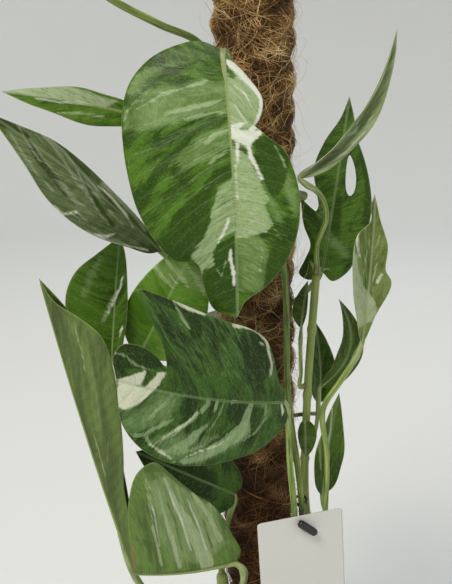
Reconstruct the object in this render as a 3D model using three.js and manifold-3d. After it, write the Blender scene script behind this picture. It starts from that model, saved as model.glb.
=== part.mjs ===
// A marble-variegated Epipremnum pinnatum on a coir pole, in a plain nursery pot, with a blank hang tag.
// Units are millimetres and +Z is up. The origin is the middle of the pot's base, and the front faces -Y.
import * as THREE from "three";
import { mergeVertices } from "three/addons/utils/BufferGeometryUtils.js";
import Module from "manifold-3d";

const wasm = await Module();
wasm.setup();

// Driving dimensions
const GAP = 0.3;
const POT = { height: 126, topRadius: 71, baseRadius: 54, wall: 2, floor: 2.5, lip: 4, lipHeight: 12 };
const DRAIN = { count: 6, radius: 4.5, circle: 36 };
const SOIL = { level: 114, fall: 4, lumps: 1.2 };
const CORE = { radius: 11, bottom: 30, top: 652 };
const COIR = { bottom: 48, top: 640, buriedRadius: 19.5, lowRadius: 20, highRadius: 22.6, lumps: 1.6 };
const LEAN = { degrees: 1.1, footX: 5.2 };
const TWINE = { radius: 0.7, pitch: 66, standOff: 2.6, bottom: 128, top: 632 };
const BLADE_THICKNESS = 0.9;
const CARD = { width: 61, height: 90, thickness: 0.8, hole: 1.8, holeInset: 5, yaw: 15, roll: 4 };
const CARD_PLACE = [26.3, -58.5, 262];
const LOOP = { radius: 0.7, barRadius: 2.2, barLength: 11, barTurn: 132, barPlace: [4, -3.4, -8.4] };

// Colours from the photograph
const COLOURS = {
  potPlastic: 0x3a332e,
  soil: 0x33251b,
  stake: 0xb08d5e,
  coir: 0x6b4a2c,
  twine: 0xa8844c,
  stem: 0x7f9a45,
  leaf: 0x4d7a3a,
  paleLeaf: 0x9fb58a,
  darkLeaf: 0x2c4a26,
  card: 0xd9dad6,
  blackPlastic: 0x22262a,
};

function material(colour, roughness) {
  return new THREE.MeshStandardMaterial({ color: colour, roughness, metalness: 0 });
}

// Solids

function solidFrom(geometry) {
  const bare = new THREE.BufferGeometry().setAttribute("position", geometry.getAttribute("position"));
  if (geometry.index) bare.setIndex(geometry.index);
  const merged = mergeVertices(bare, 1e-4);
  return new wasm.Manifold(
    new wasm.Mesh({
      numProp: 3,
      vertProperties: new Float32Array(merged.attributes.position.array),
      triVerts: new Uint32Array(merged.index.array),
    }),
  );
}

function geometryFrom(solid) {
  const mesh = solid.getMesh();
  const positions = new Float32Array(mesh.numVert * 3);
  for (let i = 0; i < mesh.numVert; i++)
    positions.set(mesh.vertProperties.subarray(i * mesh.numProp, i * mesh.numProp + 3), i * 3);
  return new THREE.BufferGeometry()
    .setAttribute("position", new THREE.BufferAttribute(positions, 3))
    .setIndex(new THREE.BufferAttribute(new Uint32Array(mesh.triVerts), 1));
}

function largestBody(solid) {
  return solid.decompose().sort((a, b) => b.volume() - a.volume())[0];
}

// A lathe profile is a list of [radius, height], turned about Z.
function turned(profile, segments) {
  const points = profile.map(([radius, height]) => new THREE.Vector2(radius, height));
  return new THREE.LatheGeometry(points, segments).rotateX(Math.PI / 2);
}

function upright(radius, bottom, top, sides) {
  return new THREE.CylinderGeometry(radius, radius, top - bottom, sides)
    .rotateX(Math.PI / 2)
    .translate(0, 0, (bottom + top) / 2);
}

function regularShape(radius, sides) {
  const corners = Array.from({ length: sides }, (_, i) => {
    const angle = (2 * Math.PI * i) / sides;
    return new THREE.Vector2(radius * Math.cos(angle), radius * Math.sin(angle));
  });
  return new THREE.Shape(corners);
}

function tube(points, radius, sides, steps) {
  const path = new THREE.CatmullRomCurve3(points, false, "centripetal");
  const options = { steps, extrudePath: path, curveSegments: 1 };
  return new THREE.ExtrudeGeometry(regularShape(radius, sides), options);
}

const vector = (p) => new THREE.Vector3(...p);

// Vines: bare stems, each a list of points from the soil up, with its radius
const VINES = {
  vine_back: {
    radius: 4.5,
    steps: 12,
    points: [
      [-9, 31, 76], [-9, 31, 124], [-8, 32, 250], [-11, 31.5, 360],
      [-8, 33, 470], [-10, 33, 560], [-8, 34, 606],
    ],
  },
  vine_front: {
    radius: 5,
    steps: 5,
    points: [[24, -34, 76], [24, -34, 124], [25, -35, 180], [27, -36, 214]],
  },
  vine_right: {
    radius: 3.2,
    steps: 10,
    points: [[48, -8, 76], [48, -8, 124], [45, -15, 195], [33, -27, 254], [32, -29, 336], [36.5, -26, 424]],
  },
  vine_left: {
    radius: 5,
    steps: 5,
    points: [[-24, -32, 76], [-24, -32, 124], [-25, -33, 170], [-27, -35, 205]],
  },
};

function vineCurve(name) {
  return new THREE.CatmullRomCurve3(VINES[name].points.map(vector), false, "centripetal");
}

function vineAt(name, height) {
  const curve = vineCurve(name);
  let [low, high] = [0, 1];
  for (let i = 0; i < 24; i++) {
    const middle = (low + high) / 2;
    if (curve.getPoint(middle).z < height) low = middle;
    else high = middle;
  }
  return curve.getPoint(low);
}

// Leaves. base and tip are the ends of the midrib, and face is the way that the upper side looks.
// arch lifts the middle of the midrib towards face, and bend moves it to the leaf's right, both in mm.
// left and right are the margins, as points [along, out] in shares of the midrib's length, between the base
// and the tip. Looking at the upper side with the tip up, right is right. fold turns each half up from flat,
// in degrees, cup curls the margins up and wave ripples them, in mm. grid is the number of rows from base
// to tip and of cells from midrib to margin. from names the vine, and at is the node's height on it: a
// petiole without it grows on from the vine's top. via holds the petiole's points on the way to the base.
const OVATE = [[-0.03, 0.35], [0.12, 0.85], [0.35, 1], [0.65, 0.75], [0.88, 0.3]];
const LANCE = [[0.04, 0.35], [0.2, 0.85], [0.45, 1], [0.75, 0.6]];
const wide = (outline, width) => outline.map(([along, out]) => [along, out * width]);
const LEAVES = {
  leaf_front_large: {
    base: [-26, -62, 570], tip: [-17, -90, 412], face: [-0.1, -1, 0.1], arch: 9, bend: -3,
    left: [
      [0.04, 0.03], [0.12, 0.09], [0.2, 0.13], [0.27, 0.11], [0.31, 0.07], [0.33, 0.12], [0.38, 0.19],
      [0.47, 0.23], [0.58, 0.245], [0.69, 0.23], [0.79, 0.185], [0.88, 0.11], [0.94, 0.03],
    ],
    right: [
      [-0.05, 0.08], [-0.05, 0.17], [-0.01, 0.28], [0.07, 0.36], [0.18, 0.4], [0.3, 0.41], [0.44, 0.4],
      [0.58, 0.37], [0.7, 0.31], [0.78, 0.24], [0.8, 0.15], [0.88, 0.13], [0.97, 0.09],
    ],
    fold: [8, 6], cup: [-5, -8], wave: 0.8, grid: [14, 3],
    from: "vine_front", at: 206, petiole: 2.7, colour: "leaf",
    via: [
      [29, -44, 222], [28, -46, 268], [18, -44, 342], [13, -45, 435],
      [0, -47, 478], [-17, -49, 520], [-23, -52, 565],
    ],
  },
  leaf_front_split: {
    base: [14, -62, 346], tip: [-90, -110, 379], face: [0, -1, 0.1], arch: 5, bend: -3,
    left: [
      [-0.05, 0.08], [-0.01, 0.18], [0.1, 0.28], [0.24, 0.33], [0.4, 0.37], [0.55, 0.385], [0.7, 0.355],
      [0.82, 0.29], [0.91, 0.2], [0.96, 0.09],
    ],
    right: [
      [0.02, 0.07], [0.12, 0.17], [0.17, 0.28], [0.26, 0.38], [0.38, 0.43], [0.54, 0.45], [0.7, 0.47],
      [0.87, 0.49], [1.07, 0.49], [0.97, 0.38], [0.83, 0.24], [0.77, 0.13], [0.85, 0.18], [0.95, 0.21],
      [1.04, 0.19], [1.06, 0.12],
    ],
    fold: [8, 12], cup: [-6, -4], wave: 0.8, grid: [17, 3],
    from: "vine_front", at: 192, petiole: 2.7, colour: "leaf",
    via: [[22, -47, 206], [23, -53, 258], [19, -54, 300], [17, -56, 330]],
  },
  leaf_front_low: {
    base: [-17, -55, 225], tip: [-83, -105, 245], face: [0, 0.1, 1], arch: -3, bend: 0,
    left: [
      [-0.03, 0.1], [0.1, 0.3], [0.25, 0.5], [0.43, 0.63], [0.6, 0.69], [0.8, 0.79], [1, 0.88],
      [1.2, 0.94], [1.31, 0.82], [1.29, 0.6], [1.16, 0.3],
    ],
    right: [[0, 0.15], [0.15, 0.4], [0.4, 0.55], [0.7, 0.55], [0.95, 0.35]],
    fold: [80, 82], cup: [-4, -3], wave: 1, grid: [12, 2],
    from: "vine_left", at: 186, petiole: 3, colour: "leaf",
    via: [[-19, -43, 188], [-13, -51, 202], [-12, -54, 218]],
  },
  leaf_left_long: {
    base: [-88, -62, 223], tip: [-139, -80, 434], face: [1, -0.3, 0], arch: -2, bend: 0,
    left: [
      [0.05, 0.04], [0.18, 0.055], [0.31, 0.065], [0.43, 0.09], [0.59, 0.13], [0.72, 0.16], [0.82, 0.15],
      [0.88, 0.1], [0.93, 0.03],
    ],
    right: [[0.05, 0.03], [0.25, 0.05], [0.5, 0.09], [0.72, 0.12], [0.88, 0.06]],
    fold: [75, 80], cup: [3, 3], wave: 1, grid: [10, 2],
    from: "vine_left", at: 172, petiole: 2.6, colour: "darkLeaf",
    via: [[-44, -44, 176], [-66, -53, 190], [-80, -58, 205]],
  },
  leaf_left_upper: {
    base: [-67, -35, 441], tip: [-165, -80, 535], face: [0, -1, 0.3], arch: 6, bend: 4,
    left: [[0.05, 0.05], [0.16, 0.1], [0.32, 0.16], [0.48, 0.18], [0.62, 0.16], [0.76, 0.1], [0.9, 0.04]],
    right: [[0.05, 0.02], [0.2, 0.04], [0.38, 0.055], [0.56, 0.07], [0.72, 0.07], [0.88, 0.03]],
    fold: [20, 30], cup: [0, 0], wave: 1, grid: [8, 2],
    from: "vine_back", at: 352, petiole: 2.4, colour: "darkLeaf",
    via: [[-30, 26, 360], [-44, 0, 395], [-54, -26, 428]],
  },
  leaf_left_top: {
    base: [-78, -12, 526], tip: [-162, -50, 545], face: [0, -0.8, 0.6], arch: 3, bend: 0,
    left: wide(LANCE, 0.14), right: wide(LANCE, 0.11),
    fold: [-10, 10], cup: [0, 0], wave: 1, grid: [8, 2],
    from: "vine_back", at: 470, petiole: 2.2, colour: "paleLeaf",
    via: [[-28, 30, 478], [-46, 14, 500], [-64, -4, 518]],
  },
  leaf_left_dark: {
    base: [-101, -34, 368], tip: [-94, -30, 450], face: [0, -1, 0.1], arch: 2, bend: 0,
    left: [[0.02, 0.16], [0.2, 0.33], [0.5, 0.4], [0.7, 0.33], [0.86, 0.16]],
    right: [[0.05, 0.06], [0.3, 0.13], [0.6, 0.14], [0.87, 0.09]],
    fold: [12, 50], cup: [0, 0], wave: 1, grid: [8, 2],
    from: "vine_back", at: 288, petiole: 2.3, colour: "darkLeaf",
    via: [[-32, 22, 296], [-64, -8, 322], [-92, -28, 350]],
  },
  leaf_behind_front: {
    base: [-80, -34, 374], tip: [-40, -48, 455], face: [-0.1, -1, 0.1], arch: 3, bend: 0,
    left: wide(OVATE, 0.25), right: wide(OVATE, 0.34),
    fold: [8, 8], cup: [0, 0], wave: 1, grid: [8, 2],
    from: "vine_back", at: 310, petiole: 2.2, colour: "leaf",
    via: [[-34, 22, 322], [-58, -4, 345], [-76, -26, 362]],
  },
  leaf_low_dark: {
    base: [-18, -38, 268], tip: [-86, -42, 302], face: [0, -1, 0.4], arch: 4, bend: 0,
    left: wide(OVATE, 0.3), right: wide(OVATE, 0.3),
    fold: [10, 10], cup: [-2, -2], wave: 1, grid: [8, 2],
    from: "vine_left", petiole: 2.3, colour: "darkLeaf",
    via: [[-27, -36, 222], [-22, -35, 248]],
  },
  leaf_right_top: {
    base: [24, -33, 489], tip: [83, -30, 582], face: [0.4, -1, 0], arch: 2, bend: 11,
    left: wide(LANCE, 0.09), right: wide(LANCE, 0.09),
    fold: [50, 50], cup: [0, 0], wave: 1, twist: 20, grid: [10, 2],
    from: "vine_right", petiole: 2.2, colour: "paleLeaf",
    via: [[36.5, -26, 443], [42, -27, 461], [40, -29, 473], [34, -32, 481], [28, -35, 485]],
  },
  leaf_right_holed: {
    base: [46, 32, 411], tip: [63, 40, 536], face: [0, -1, 0.05], arch: 4, bend: 0,
    left: [
      [-0.06, 0.06], [-0.03, 0.13], [0.05, 0.11], [0.14, 0.09], [0.26, 0.15], [0.4, 0.18], [0.32, 0.11],
      [0.36, 0.08], [0.44, 0.1], [0.58, 0.14], [0.74, 0.1], [0.88, 0.03],
    ],
    right: [
      [-0.05, 0.07], [0.02, 0.15], [0.15, 0.19], [0.28, 0.22], [0.41, 0.22], [0.53, 0.19], [0.66, 0.14],
      [0.78, 0.08], [0.9, 0.04],
    ],
    fold: [6, 6], cup: [-3, -3], wave: 1, grid: [13, 3],
    openings: [{ rows: [0.6, 0.78], cells: [0.34, 0.66] }],
    from: "vine_back", at: 372, petiole: 2.4, colour: "darkLeaf",
    via: [[16, 36, 380], [36, 35, 396]],
  },
  leaf_right_curled: {
    base: [66, -48, 382], tip: [70, -50, 481], face: [0.1, -1, 0], arch: 4, bend: 0,
    left: [[0.05, 0.03], [0.2, 0.07], [0.4, 0.13], [0.6, 0.16], [0.76, 0.13], [0.84, 0.03], [0.93, 0.03]],
    right: [[0.06, 0.02], [0.25, 0.06], [0.46, 0.13], [0.54, 0.08], [0.7, 0.08], [0.86, 0.03]],
    fold: [15, 40], cup: [0, 4], wave: 1, twist: 25, grid: [8, 2],
    from: "vine_right", at: 226, petiole: 2.4, colour: "paleLeaf",
    via: [[45, -37, 246], [45.5, -41, 270], [44.5, -48, 304], [41, -50, 336], [52, -50, 356], [60, -49, 369]],
  },
  leaf_right_dark: {
    base: [42, -18, 340], tip: [52, -25, 406], face: [0.1, -1, 0], arch: 3, bend: 14,
    left: wide(LANCE, 0.12), right: wide(LANCE, 0.14),
    fold: [15, 15], cup: [0, 0], wave: 1, grid: [8, 2],
    from: "vine_right", at: 300, petiole: 1.8, colour: "darkLeaf",
    via: [[40, -18, 312], [41, -16, 328]],
  },
  leaf_right_small: {
    base: [27, -26, 386], tip: [31, -26, 419], face: [-0.3, -1, 0], arch: 1, bend: 0,
    left: wide(LANCE, 0.22), right: wide(LANCE, 0.08),
    fold: [10, 10], cup: [0, 0], wave: 0.4, grid: [6, 2],
    from: "vine_right", at: 346, petiole: 1.6, colour: "darkLeaf",
    via: [[27, -33, 356], [26.5, -30, 374]],
  },
  leaf_right_inner: {
    base: [44, 8, 318], tip: [39, 8, 381], face: [0.2, -1, 0], arch: 2, bend: 2,
    left: wide(LANCE, 0.16), right: wide(LANCE, 0.17),
    fold: [20, 20], cup: [0, 0], wave: 0.8, grid: [8, 2],
    from: "vine_back", at: 290, petiole: 2, colour: "leaf",
    via: [[14, 34, 295], [36, 24, 303], [44, 12, 309]],
  },
  leaf_right_low: {
    base: [44, -31, 264], tip: [53, -37, 343], face: [0.2, -1, 0], arch: 2, bend: -2,
    left: wide(LANCE, 0.12), right: wide(LANCE, 0.14),
    fold: [15, 20], cup: [0, 0], wave: 1, grid: [8, 2],
    from: "vine_right", at: 210, petiole: 2, colour: "paleLeaf",
    via: [[49, -24, 220], [48, -28, 244]],
  },
  leaf_right_drooping: {
    base: [30, -38, 322], tip: [31, -40, 296], face: [0, -1, 0.1], arch: 1, bend: 0,
    left: wide(OVATE, 0.3), right: wide(OVATE, 0.2),
    fold: [10, 10], cup: [0, 0], wave: 0.4, grid: [6, 2],
    from: "vine_right", at: 300, petiole: 1.6, colour: "darkLeaf",
    via: [[31, -37, 308], [30, -37, 316]],
  },
  leaf_top_left: {
    base: [-120, -58, 622], tip: [-158, -82, 690], face: [0.2, -1, 0.3], arch: 6, bend: 0,
    left: wide(OVATE, 0.36), right: wide(OVATE, 0.36),
    fold: [10, 10], cup: [-3, -3], wave: 1, grid: [9, 2],
    from: "vine_back", at: 520, petiole: 2.9, colour: "leaf",
    via: [[-28, 22, 542], [-42, -20, 574], [-65, -38, 585], [-95, -50, 601]],
  },
  leaf_top_young: {
    base: [12, 22, 652], tip: [58, -12, 706], face: [-0.5, -0.6, 0.8], arch: 5, bend: 0,
    left: wide(OVATE, 0.3), right: wide(OVATE, 0.3),
    fold: [15, 15], cup: [-2, -2], wave: 1, grid: [8, 2],
    from: "vine_back", petiole: 2.2, colour: "leaf",
    via: [[-7, 34, 625], [3, 29, 645]],
  },
  leaf_back_top: {
    base: [-30, 66, 535], tip: [-64, 128, 540], face: [-0.2, 0.3, 1], arch: 8, bend: 3,
    left: wide(OVATE, 0.36), right: wide(OVATE, 0.34),
    fold: [10, 14], cup: [-3, -3], wave: 1, grid: [8, 2],
    from: "vine_back", at: 500, petiole: 2.4, colour: "leaf",
    via: [[-14, 46, 508], [-22, 60, 524]],
  },
  leaf_back_high: {
    base: [12, 66, 468], tip: [2, 140, 418], face: [0.2, 0.7, 0.9], arch: 10, bend: -3,
    left: wide(OVATE, 0.33), right: wide(OVATE, 0.36),
    fold: [8, 12], cup: [-3, -4], wave: 1, grid: [9, 2],
    from: "vine_back", at: 432, petiole: 2.4, colour: "leaf",
    via: [[-4, 46, 442], [8, 60, 462]],
  },
  leaf_back_middle: {
    base: [-26, 62, 366], tip: [-68, 132, 330], face: [-0.3, 0.5, 1], arch: 9, bend: 4,
    left: wide(OVATE, 0.34), right: wide(OVATE, 0.38),
    fold: [16, 10], cup: [-4, -3], wave: 1, grid: [9, 2],
    from: "vine_back", at: 330, petiole: 2.4, colour: "darkLeaf",
    via: [[-16, 45, 338], [-24, 56, 358]],
  },
  leaf_back_low: {
    base: [4, 64, 262], tip: [10, 134, 236], face: [0.3, 0.4, 1], arch: 9, bend: 0,
    left: wide(OVATE, 0.35), right: wide(OVATE, 0.33),
    fold: [12, 10], cup: [-3, -3], wave: 1, grid: [9, 2],
    from: "vine_back", at: 222, petiole: 2.4, colour: "leaf",
    via: [[-5, 46, 232], [2, 58, 254]],
  },
};

// The blade's midrib curve and the frame that follows it
function midribOf(leaf) {
  const base = vector(leaf.base);
  const tip = vector(leaf.tip);
  const length = base.distanceTo(tip);
  const along = tip.clone().sub(base).normalize();
  const face = vector(leaf.face);
  face.addScaledVector(along, -face.dot(along)).normalize();
  const side = along.clone().cross(face);
  const control = base.clone().add(tip).multiplyScalar(0.5);
  control.addScaledVector(face, 2 * leaf.arch).addScaledVector(side, 2 * leaf.bend);
  const curve = new THREE.QuadraticBezierCurve3(base, control, tip);
  const twist = THREE.MathUtils.degToRad(leaf.twist ?? 0);
  const frameAt = (share) => {
    const tangent = curve.getTangent(share);
    const right = tangent.clone().cross(face).normalize().applyAxisAngle(tangent, twist * share);
    return { point: curve.getPoint(share), tangent, right, up: right.clone().cross(tangent) };
  };
  return { length, frameAt };
}

// A half's margin, from base to tip, with the place on the midrib where the side vein to each point starts.
// Veins sweep towards the tip, and those of the base's lobes fan out from the petiole.
const VEIN_SWEEP = 0.6;
const VEIN_SPREAD = 0.14;
const VEIN_STEPS = 60;
function marginOf(points) {
  const corners = [[0, 0], ...points, [1, 0]].map(([along, out]) => new THREE.Vector3(along, out, 0));
  const curve = new THREE.CatmullRomCurve3(corners, false, "centripetal");
  return (t) => {
    let furthest = 0;
    for (let k = 0; k <= VEIN_STEPS; k++) {
      const { x, y } = curve.getPoint((t * k) / VEIN_STEPS);
      furthest = Math.max(furthest, Math.min(x - VEIN_SWEEP * y, 1));
    }
    const { x, y } = curve.getPoint(t);
    return { along: x, out: Math.max(y, 0), start: THREE.MathUtils.lerp(furthest, t, VEIN_SPREAD) };
  };
}

// Where a blade's point lies: t runs from base to tip along the margin, and v from the midrib at 0 to the
// right margin at 1 or the left one at -1, along a side vein.
const VEIN_CURVE = 1.3;
function bladePoint(leaf, midrib, margins, t, v) {
  const half = v < 0 ? 0 : 1;
  const share = Math.abs(v);
  const margin = margins[half](t);
  const start = (margins[0](t).start + margins[1](t).start) / 2;
  const along = start + (margin.along - start) * share ** VEIN_CURVE;
  const across = margin.out * share * midrib.length;
  const place = THREE.MathUtils.clamp(along, 0, 1);
  const frame = midrib.frameAt(place);
  const fold = THREE.MathUtils.degToRad(leaf.fold[half]);
  const arc = Math.sin(Math.PI * t);
  const ripple = leaf.wave * Math.sin(2 * Math.PI * (3 * t + 0.3 * half));
  const lift = across * Math.sin(fold) + (leaf.cup[half] + ripple) * arc * share ** 2;
  return {
    point: frame.point
      .addScaledVector(frame.tangent, (along - place) * midrib.length)
      .addScaledVector(frame.right, Math.sign(v) * across * Math.cos(fold))
      .addScaledVector(frame.up, lift),
    up: frame.up,
    right: frame.right,
    fold: Math.sign(v) * fold,
  };
}

// The way that a blade's face looks at a point, which is up from the midrib and turned with its half's fold.
function faceAt({ up, right, fold }) {
  return up.clone().multiplyScalar(Math.cos(fold)).addScaledVector(right, -Math.sin(fold));
}

// A closed blade: a grid of cells with two faces, split alike, and a wall wherever a neighbour is missing.
function bladeSolid(leaf) {
  const midrib = midribOf(leaf);
  const margins = [marginOf(leaf.left), marginOf(leaf.right)];
  const [last, cells] = leaf.grid;
  const columns = 2 * cells;
  const positions = [];
  for (let i = 0; i <= last; i++)
    for (let j = 0; j <= columns; j++) {
      const place = bladePoint(leaf, midrib, margins, i / last, j / cells - 1);
      const half = faceAt(place).multiplyScalar(BLADE_THICKNESS / 2);
      positions.push(...place.point.clone().add(half).toArray(), ...place.point.clone().sub(half).toArray());
    }
  const corner = (i, j, face) => 2 * (i * (columns + 1) + (i === 0 || i === last ? cells : j)) + face;
  const isOpen = (i, j) =>
    (leaf.openings ?? []).some(({ rows, cells: [near, far] }) => {
      const [t, v] = [(i + 0.5) / last, (j + 0.5) / cells - 1];
      return t > rows[0] && t < rows[1] && v > near && v < far;
    });
  const isBlade = (i, j) => i >= 0 && i < last && j >= 0 && j < columns && !isOpen(i, j);
  const faces = [];
  const triangle = (a, b, c) => {
    if (a !== b && b !== c && c !== a) faces.push(a, b, c);
  };
  const wall = (a, b) => {
    triangle(corner(...a, 0), corner(...a, 1), corner(...b, 1));
    triangle(corner(...a, 0), corner(...b, 1), corner(...b, 0));
  };
  for (let i = 0; i < last; i++)
    for (let j = 0; j < columns; j++) {
      if (!isBlade(i, j)) continue;
      const ring = [[i, j], [i, j + 1], [i + 1, j + 1], [i + 1, j]];
      const [a, b, c, d] = ring.map((cell) => corner(...cell, 0));
      triangle(a, b, c);
      triangle(a, c, d);
      triangle(a + 1, c + 1, b + 1);
      triangle(a + 1, d + 1, c + 1);
      ring.forEach((from, side) => {
        const to = ring[(side + 1) % 4];
        const [row, column] = [[i - 1, j], [i, j + 1], [i + 1, j], [i, j - 1]][side];
        const isPoint = corner(...from, 0) === corner(...to, 0);
        if (!isBlade(row, column) && !isPoint) wall(from, to);
      });
    }
  const geometry = new THREE.BufferGeometry()
    .setAttribute("position", new THREE.BufferAttribute(new Float32Array(positions), 3))
    .setIndex(faces);
  return { solid: solidFrom(geometry), midrib };
}

// The petiole leaves its vine square to it, or grows on from the vine's top, and ends sunk in the midrib.
const PETIOLE_SIDES = 5;
const PETIOLE_START = 4;
const SUNK_SHARE = 0.14;
function petioleRoot(leaf) {
  const { radius } = VINES[leaf.from];
  if (leaf.at === undefined) {
    const curve = vineCurve(leaf.from);
    return { root: curve.getPoint(1), out: curve.getTangent(1), gap: GAP };
  }
  const root = vineAt(leaf.from, leaf.at);
  return { root, out: vector(leaf.via[0]).sub(root).setZ(0).normalize(), gap: radius + GAP };
}

function petioleSolid(leaf, midrib) {
  const { root, out, gap } = petioleRoot(leaf);
  const joint = midrib.frameAt(0);
  const sunk = midrib.frameAt(SUNK_SHARE);
  const points = [
    root.clone().addScaledVector(out, gap),
    root.clone().addScaledVector(out, gap + PETIOLE_START),
    ...leaf.via.map(vector),
    joint.point.addScaledVector(joint.up, -0.5 * leaf.petiole),
    sunk.point.addScaledVector(sunk.up, -0.3 * leaf.petiole),
  ];
  return solidFrom(tube(points, leaf.petiole, PETIOLE_SIDES, 2 * points.length - 2));
}

function leafGeometry(leaf) {
  const { solid, midrib } = bladeSolid(leaf);
  return geometryFrom(largestBody(solid.add(petioleSolid(leaf, midrib))));
}

function vineGeometry(name) {
  const { points, radius, steps } = VINES[name];
  return tube(points.map(vector), radius, 8, steps);
}

// The pole leans a little to the left: it is built upright and then turned about its foot.
function leaned(geometry) {
  return geometry.rotateY(-THREE.MathUtils.degToRad(LEAN.degrees)).translate(LEAN.footX, 0, 0);
}

// The coir pole: a stake wrapped in coir, which bulges between turns of twine and is smooth in the soil.
const COIR_SIDES = 18;
const COIR_ROWS = 28;
function coirRadius(angle, height) {
  const share = (height - SOIL.level) / (COIR.top - SOIL.level);
  const turn = (2 * Math.PI * (height - TWINE.bottom)) / TWINE.pitch;
  const bulge = Math.abs(Math.cos(turn) + Math.sin(angle)) / 2;
  return COIR.lowRadius + (COIR.highRadius - COIR.lowRadius) * share + COIR.lumps * bulge;
}

function coirGeometry() {
  const rise = (COIR.top - SOIL.level - 12) / (COIR_ROWS - 1);
  const rings = [[COIR.bottom, COIR.buriedRadius], [SOIL.level + 8, COIR.buriedRadius]];
  for (let i = 0; i < COIR_ROWS; i++) rings.push([SOIL.level + 12 + i * rise]);
  const inner = CORE.radius + GAP;
  const positions = [];
  const faces = [];
  const addRing = (radiusAt, height) => {
    for (let k = 0; k < COIR_SIDES; k++) {
      const angle = (2 * Math.PI * k) / COIR_SIDES;
      positions.push(radiusAt(angle) * Math.cos(angle), radiusAt(angle) * Math.sin(angle), height);
    }
  };
  rings.forEach(([height, radius]) => addRing((angle) => radius ?? coirRadius(angle, height), height));
  addRing(() => inner, COIR.top);
  addRing(() => inner, COIR.bottom);
  const count = rings.length + 2;
  for (let i = 0; i < count; i++)
    for (let k = 0; k < COIR_SIDES; k++) {
      const [low, high] = [i * COIR_SIDES, ((i + 1) % count) * COIR_SIDES];
      const next = (k + 1) % COIR_SIDES;
      faces.push(low + k, low + next, high + next, low + k, high + next, high + k);
    }
  return new THREE.BufferGeometry()
    .setAttribute("position", new THREE.BufferAttribute(new Float32Array(positions), 3))
    .setIndex(faces);
}

// Twine: one cord wound up to the right and one to the left, which cross at the front and back.
const TWINE_SEGMENTS = 11;
function twineGeometry() {
  const turns = (TWINE.top - TWINE.bottom) / TWINE.pitch;
  const windings = [1, -1].map((direction) => {
    const count = Math.round(turns * TWINE_SEGMENTS);
    const points = Array.from({ length: count + 1 }, (_, i) => {
      const height = TWINE.bottom + ((TWINE.top - TWINE.bottom) * i) / count;
      const share = (height - SOIL.level) / (COIR.top - SOIL.level);
      const radius = COIR.lowRadius + (COIR.highRadius - COIR.lowRadius) * share + TWINE.standOff;
      const angle = direction * ((2 * Math.PI * (height - TWINE.bottom)) / TWINE.pitch) - Math.PI / 2;
      return new THREE.Vector3(radius * Math.cos(angle), radius * Math.sin(angle), height);
    });
    return solidFrom(tube(points, TWINE.radius, 3, count));
  });
  return geometryFrom(largestBody(windings[0].add(windings[1])));
}

// The pot stands on a foot ring and a round centre foot, under a raised floor with drain holes.
const POT_SIDES = 32;
const FOOT = { inner: 47, height: 3 };
const CENTRE_FOOT = { radius: 14, sides: 9 };
function potGeometry() {
  const { height, topRadius, baseRadius, wall, floor, lip, lipHeight } = POT;
  const under = height - lipHeight;
  const underRadius = topRadius - (topRadius - baseRadius) * (lipHeight / height);
  const shell = turned(
    [
      [0, FOOT.height], [FOOT.inner, FOOT.height], [FOOT.inner + 1, 0], [baseRadius, 0],
      [underRadius, under], [topRadius + lip - 1, under], [topRadius + lip, height], [topRadius, height],
      [underRadius - wall + 1, under - 4], [baseRadius - wall, FOOT.height + floor], [0, FOOT.height + floor],
    ],
    POT_SIDES,
  );
  const centreFoot = new THREE.ExtrudeGeometry(regularShape(CENTRE_FOOT.radius, CENTRE_FOOT.sides), {
    depth: FOOT.height + 1,
    bevelEnabled: false,
  });
  let solid = solidFrom(shell).add(solidFrom(centreFoot));
  for (let i = 0; i < DRAIN.count; i++) {
    const angle = (2 * Math.PI * (i + 0.5)) / DRAIN.count;
    const hole = upright(DRAIN.radius, -5, FOOT.height + floor + 5, 10);
    hole.translate(DRAIN.circle * Math.cos(angle), DRAIN.circle * Math.sin(angle), 0);
    solid = solid.subtract(solidFrom(hole));
  }
  return geometryFrom(solid);
}

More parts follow.
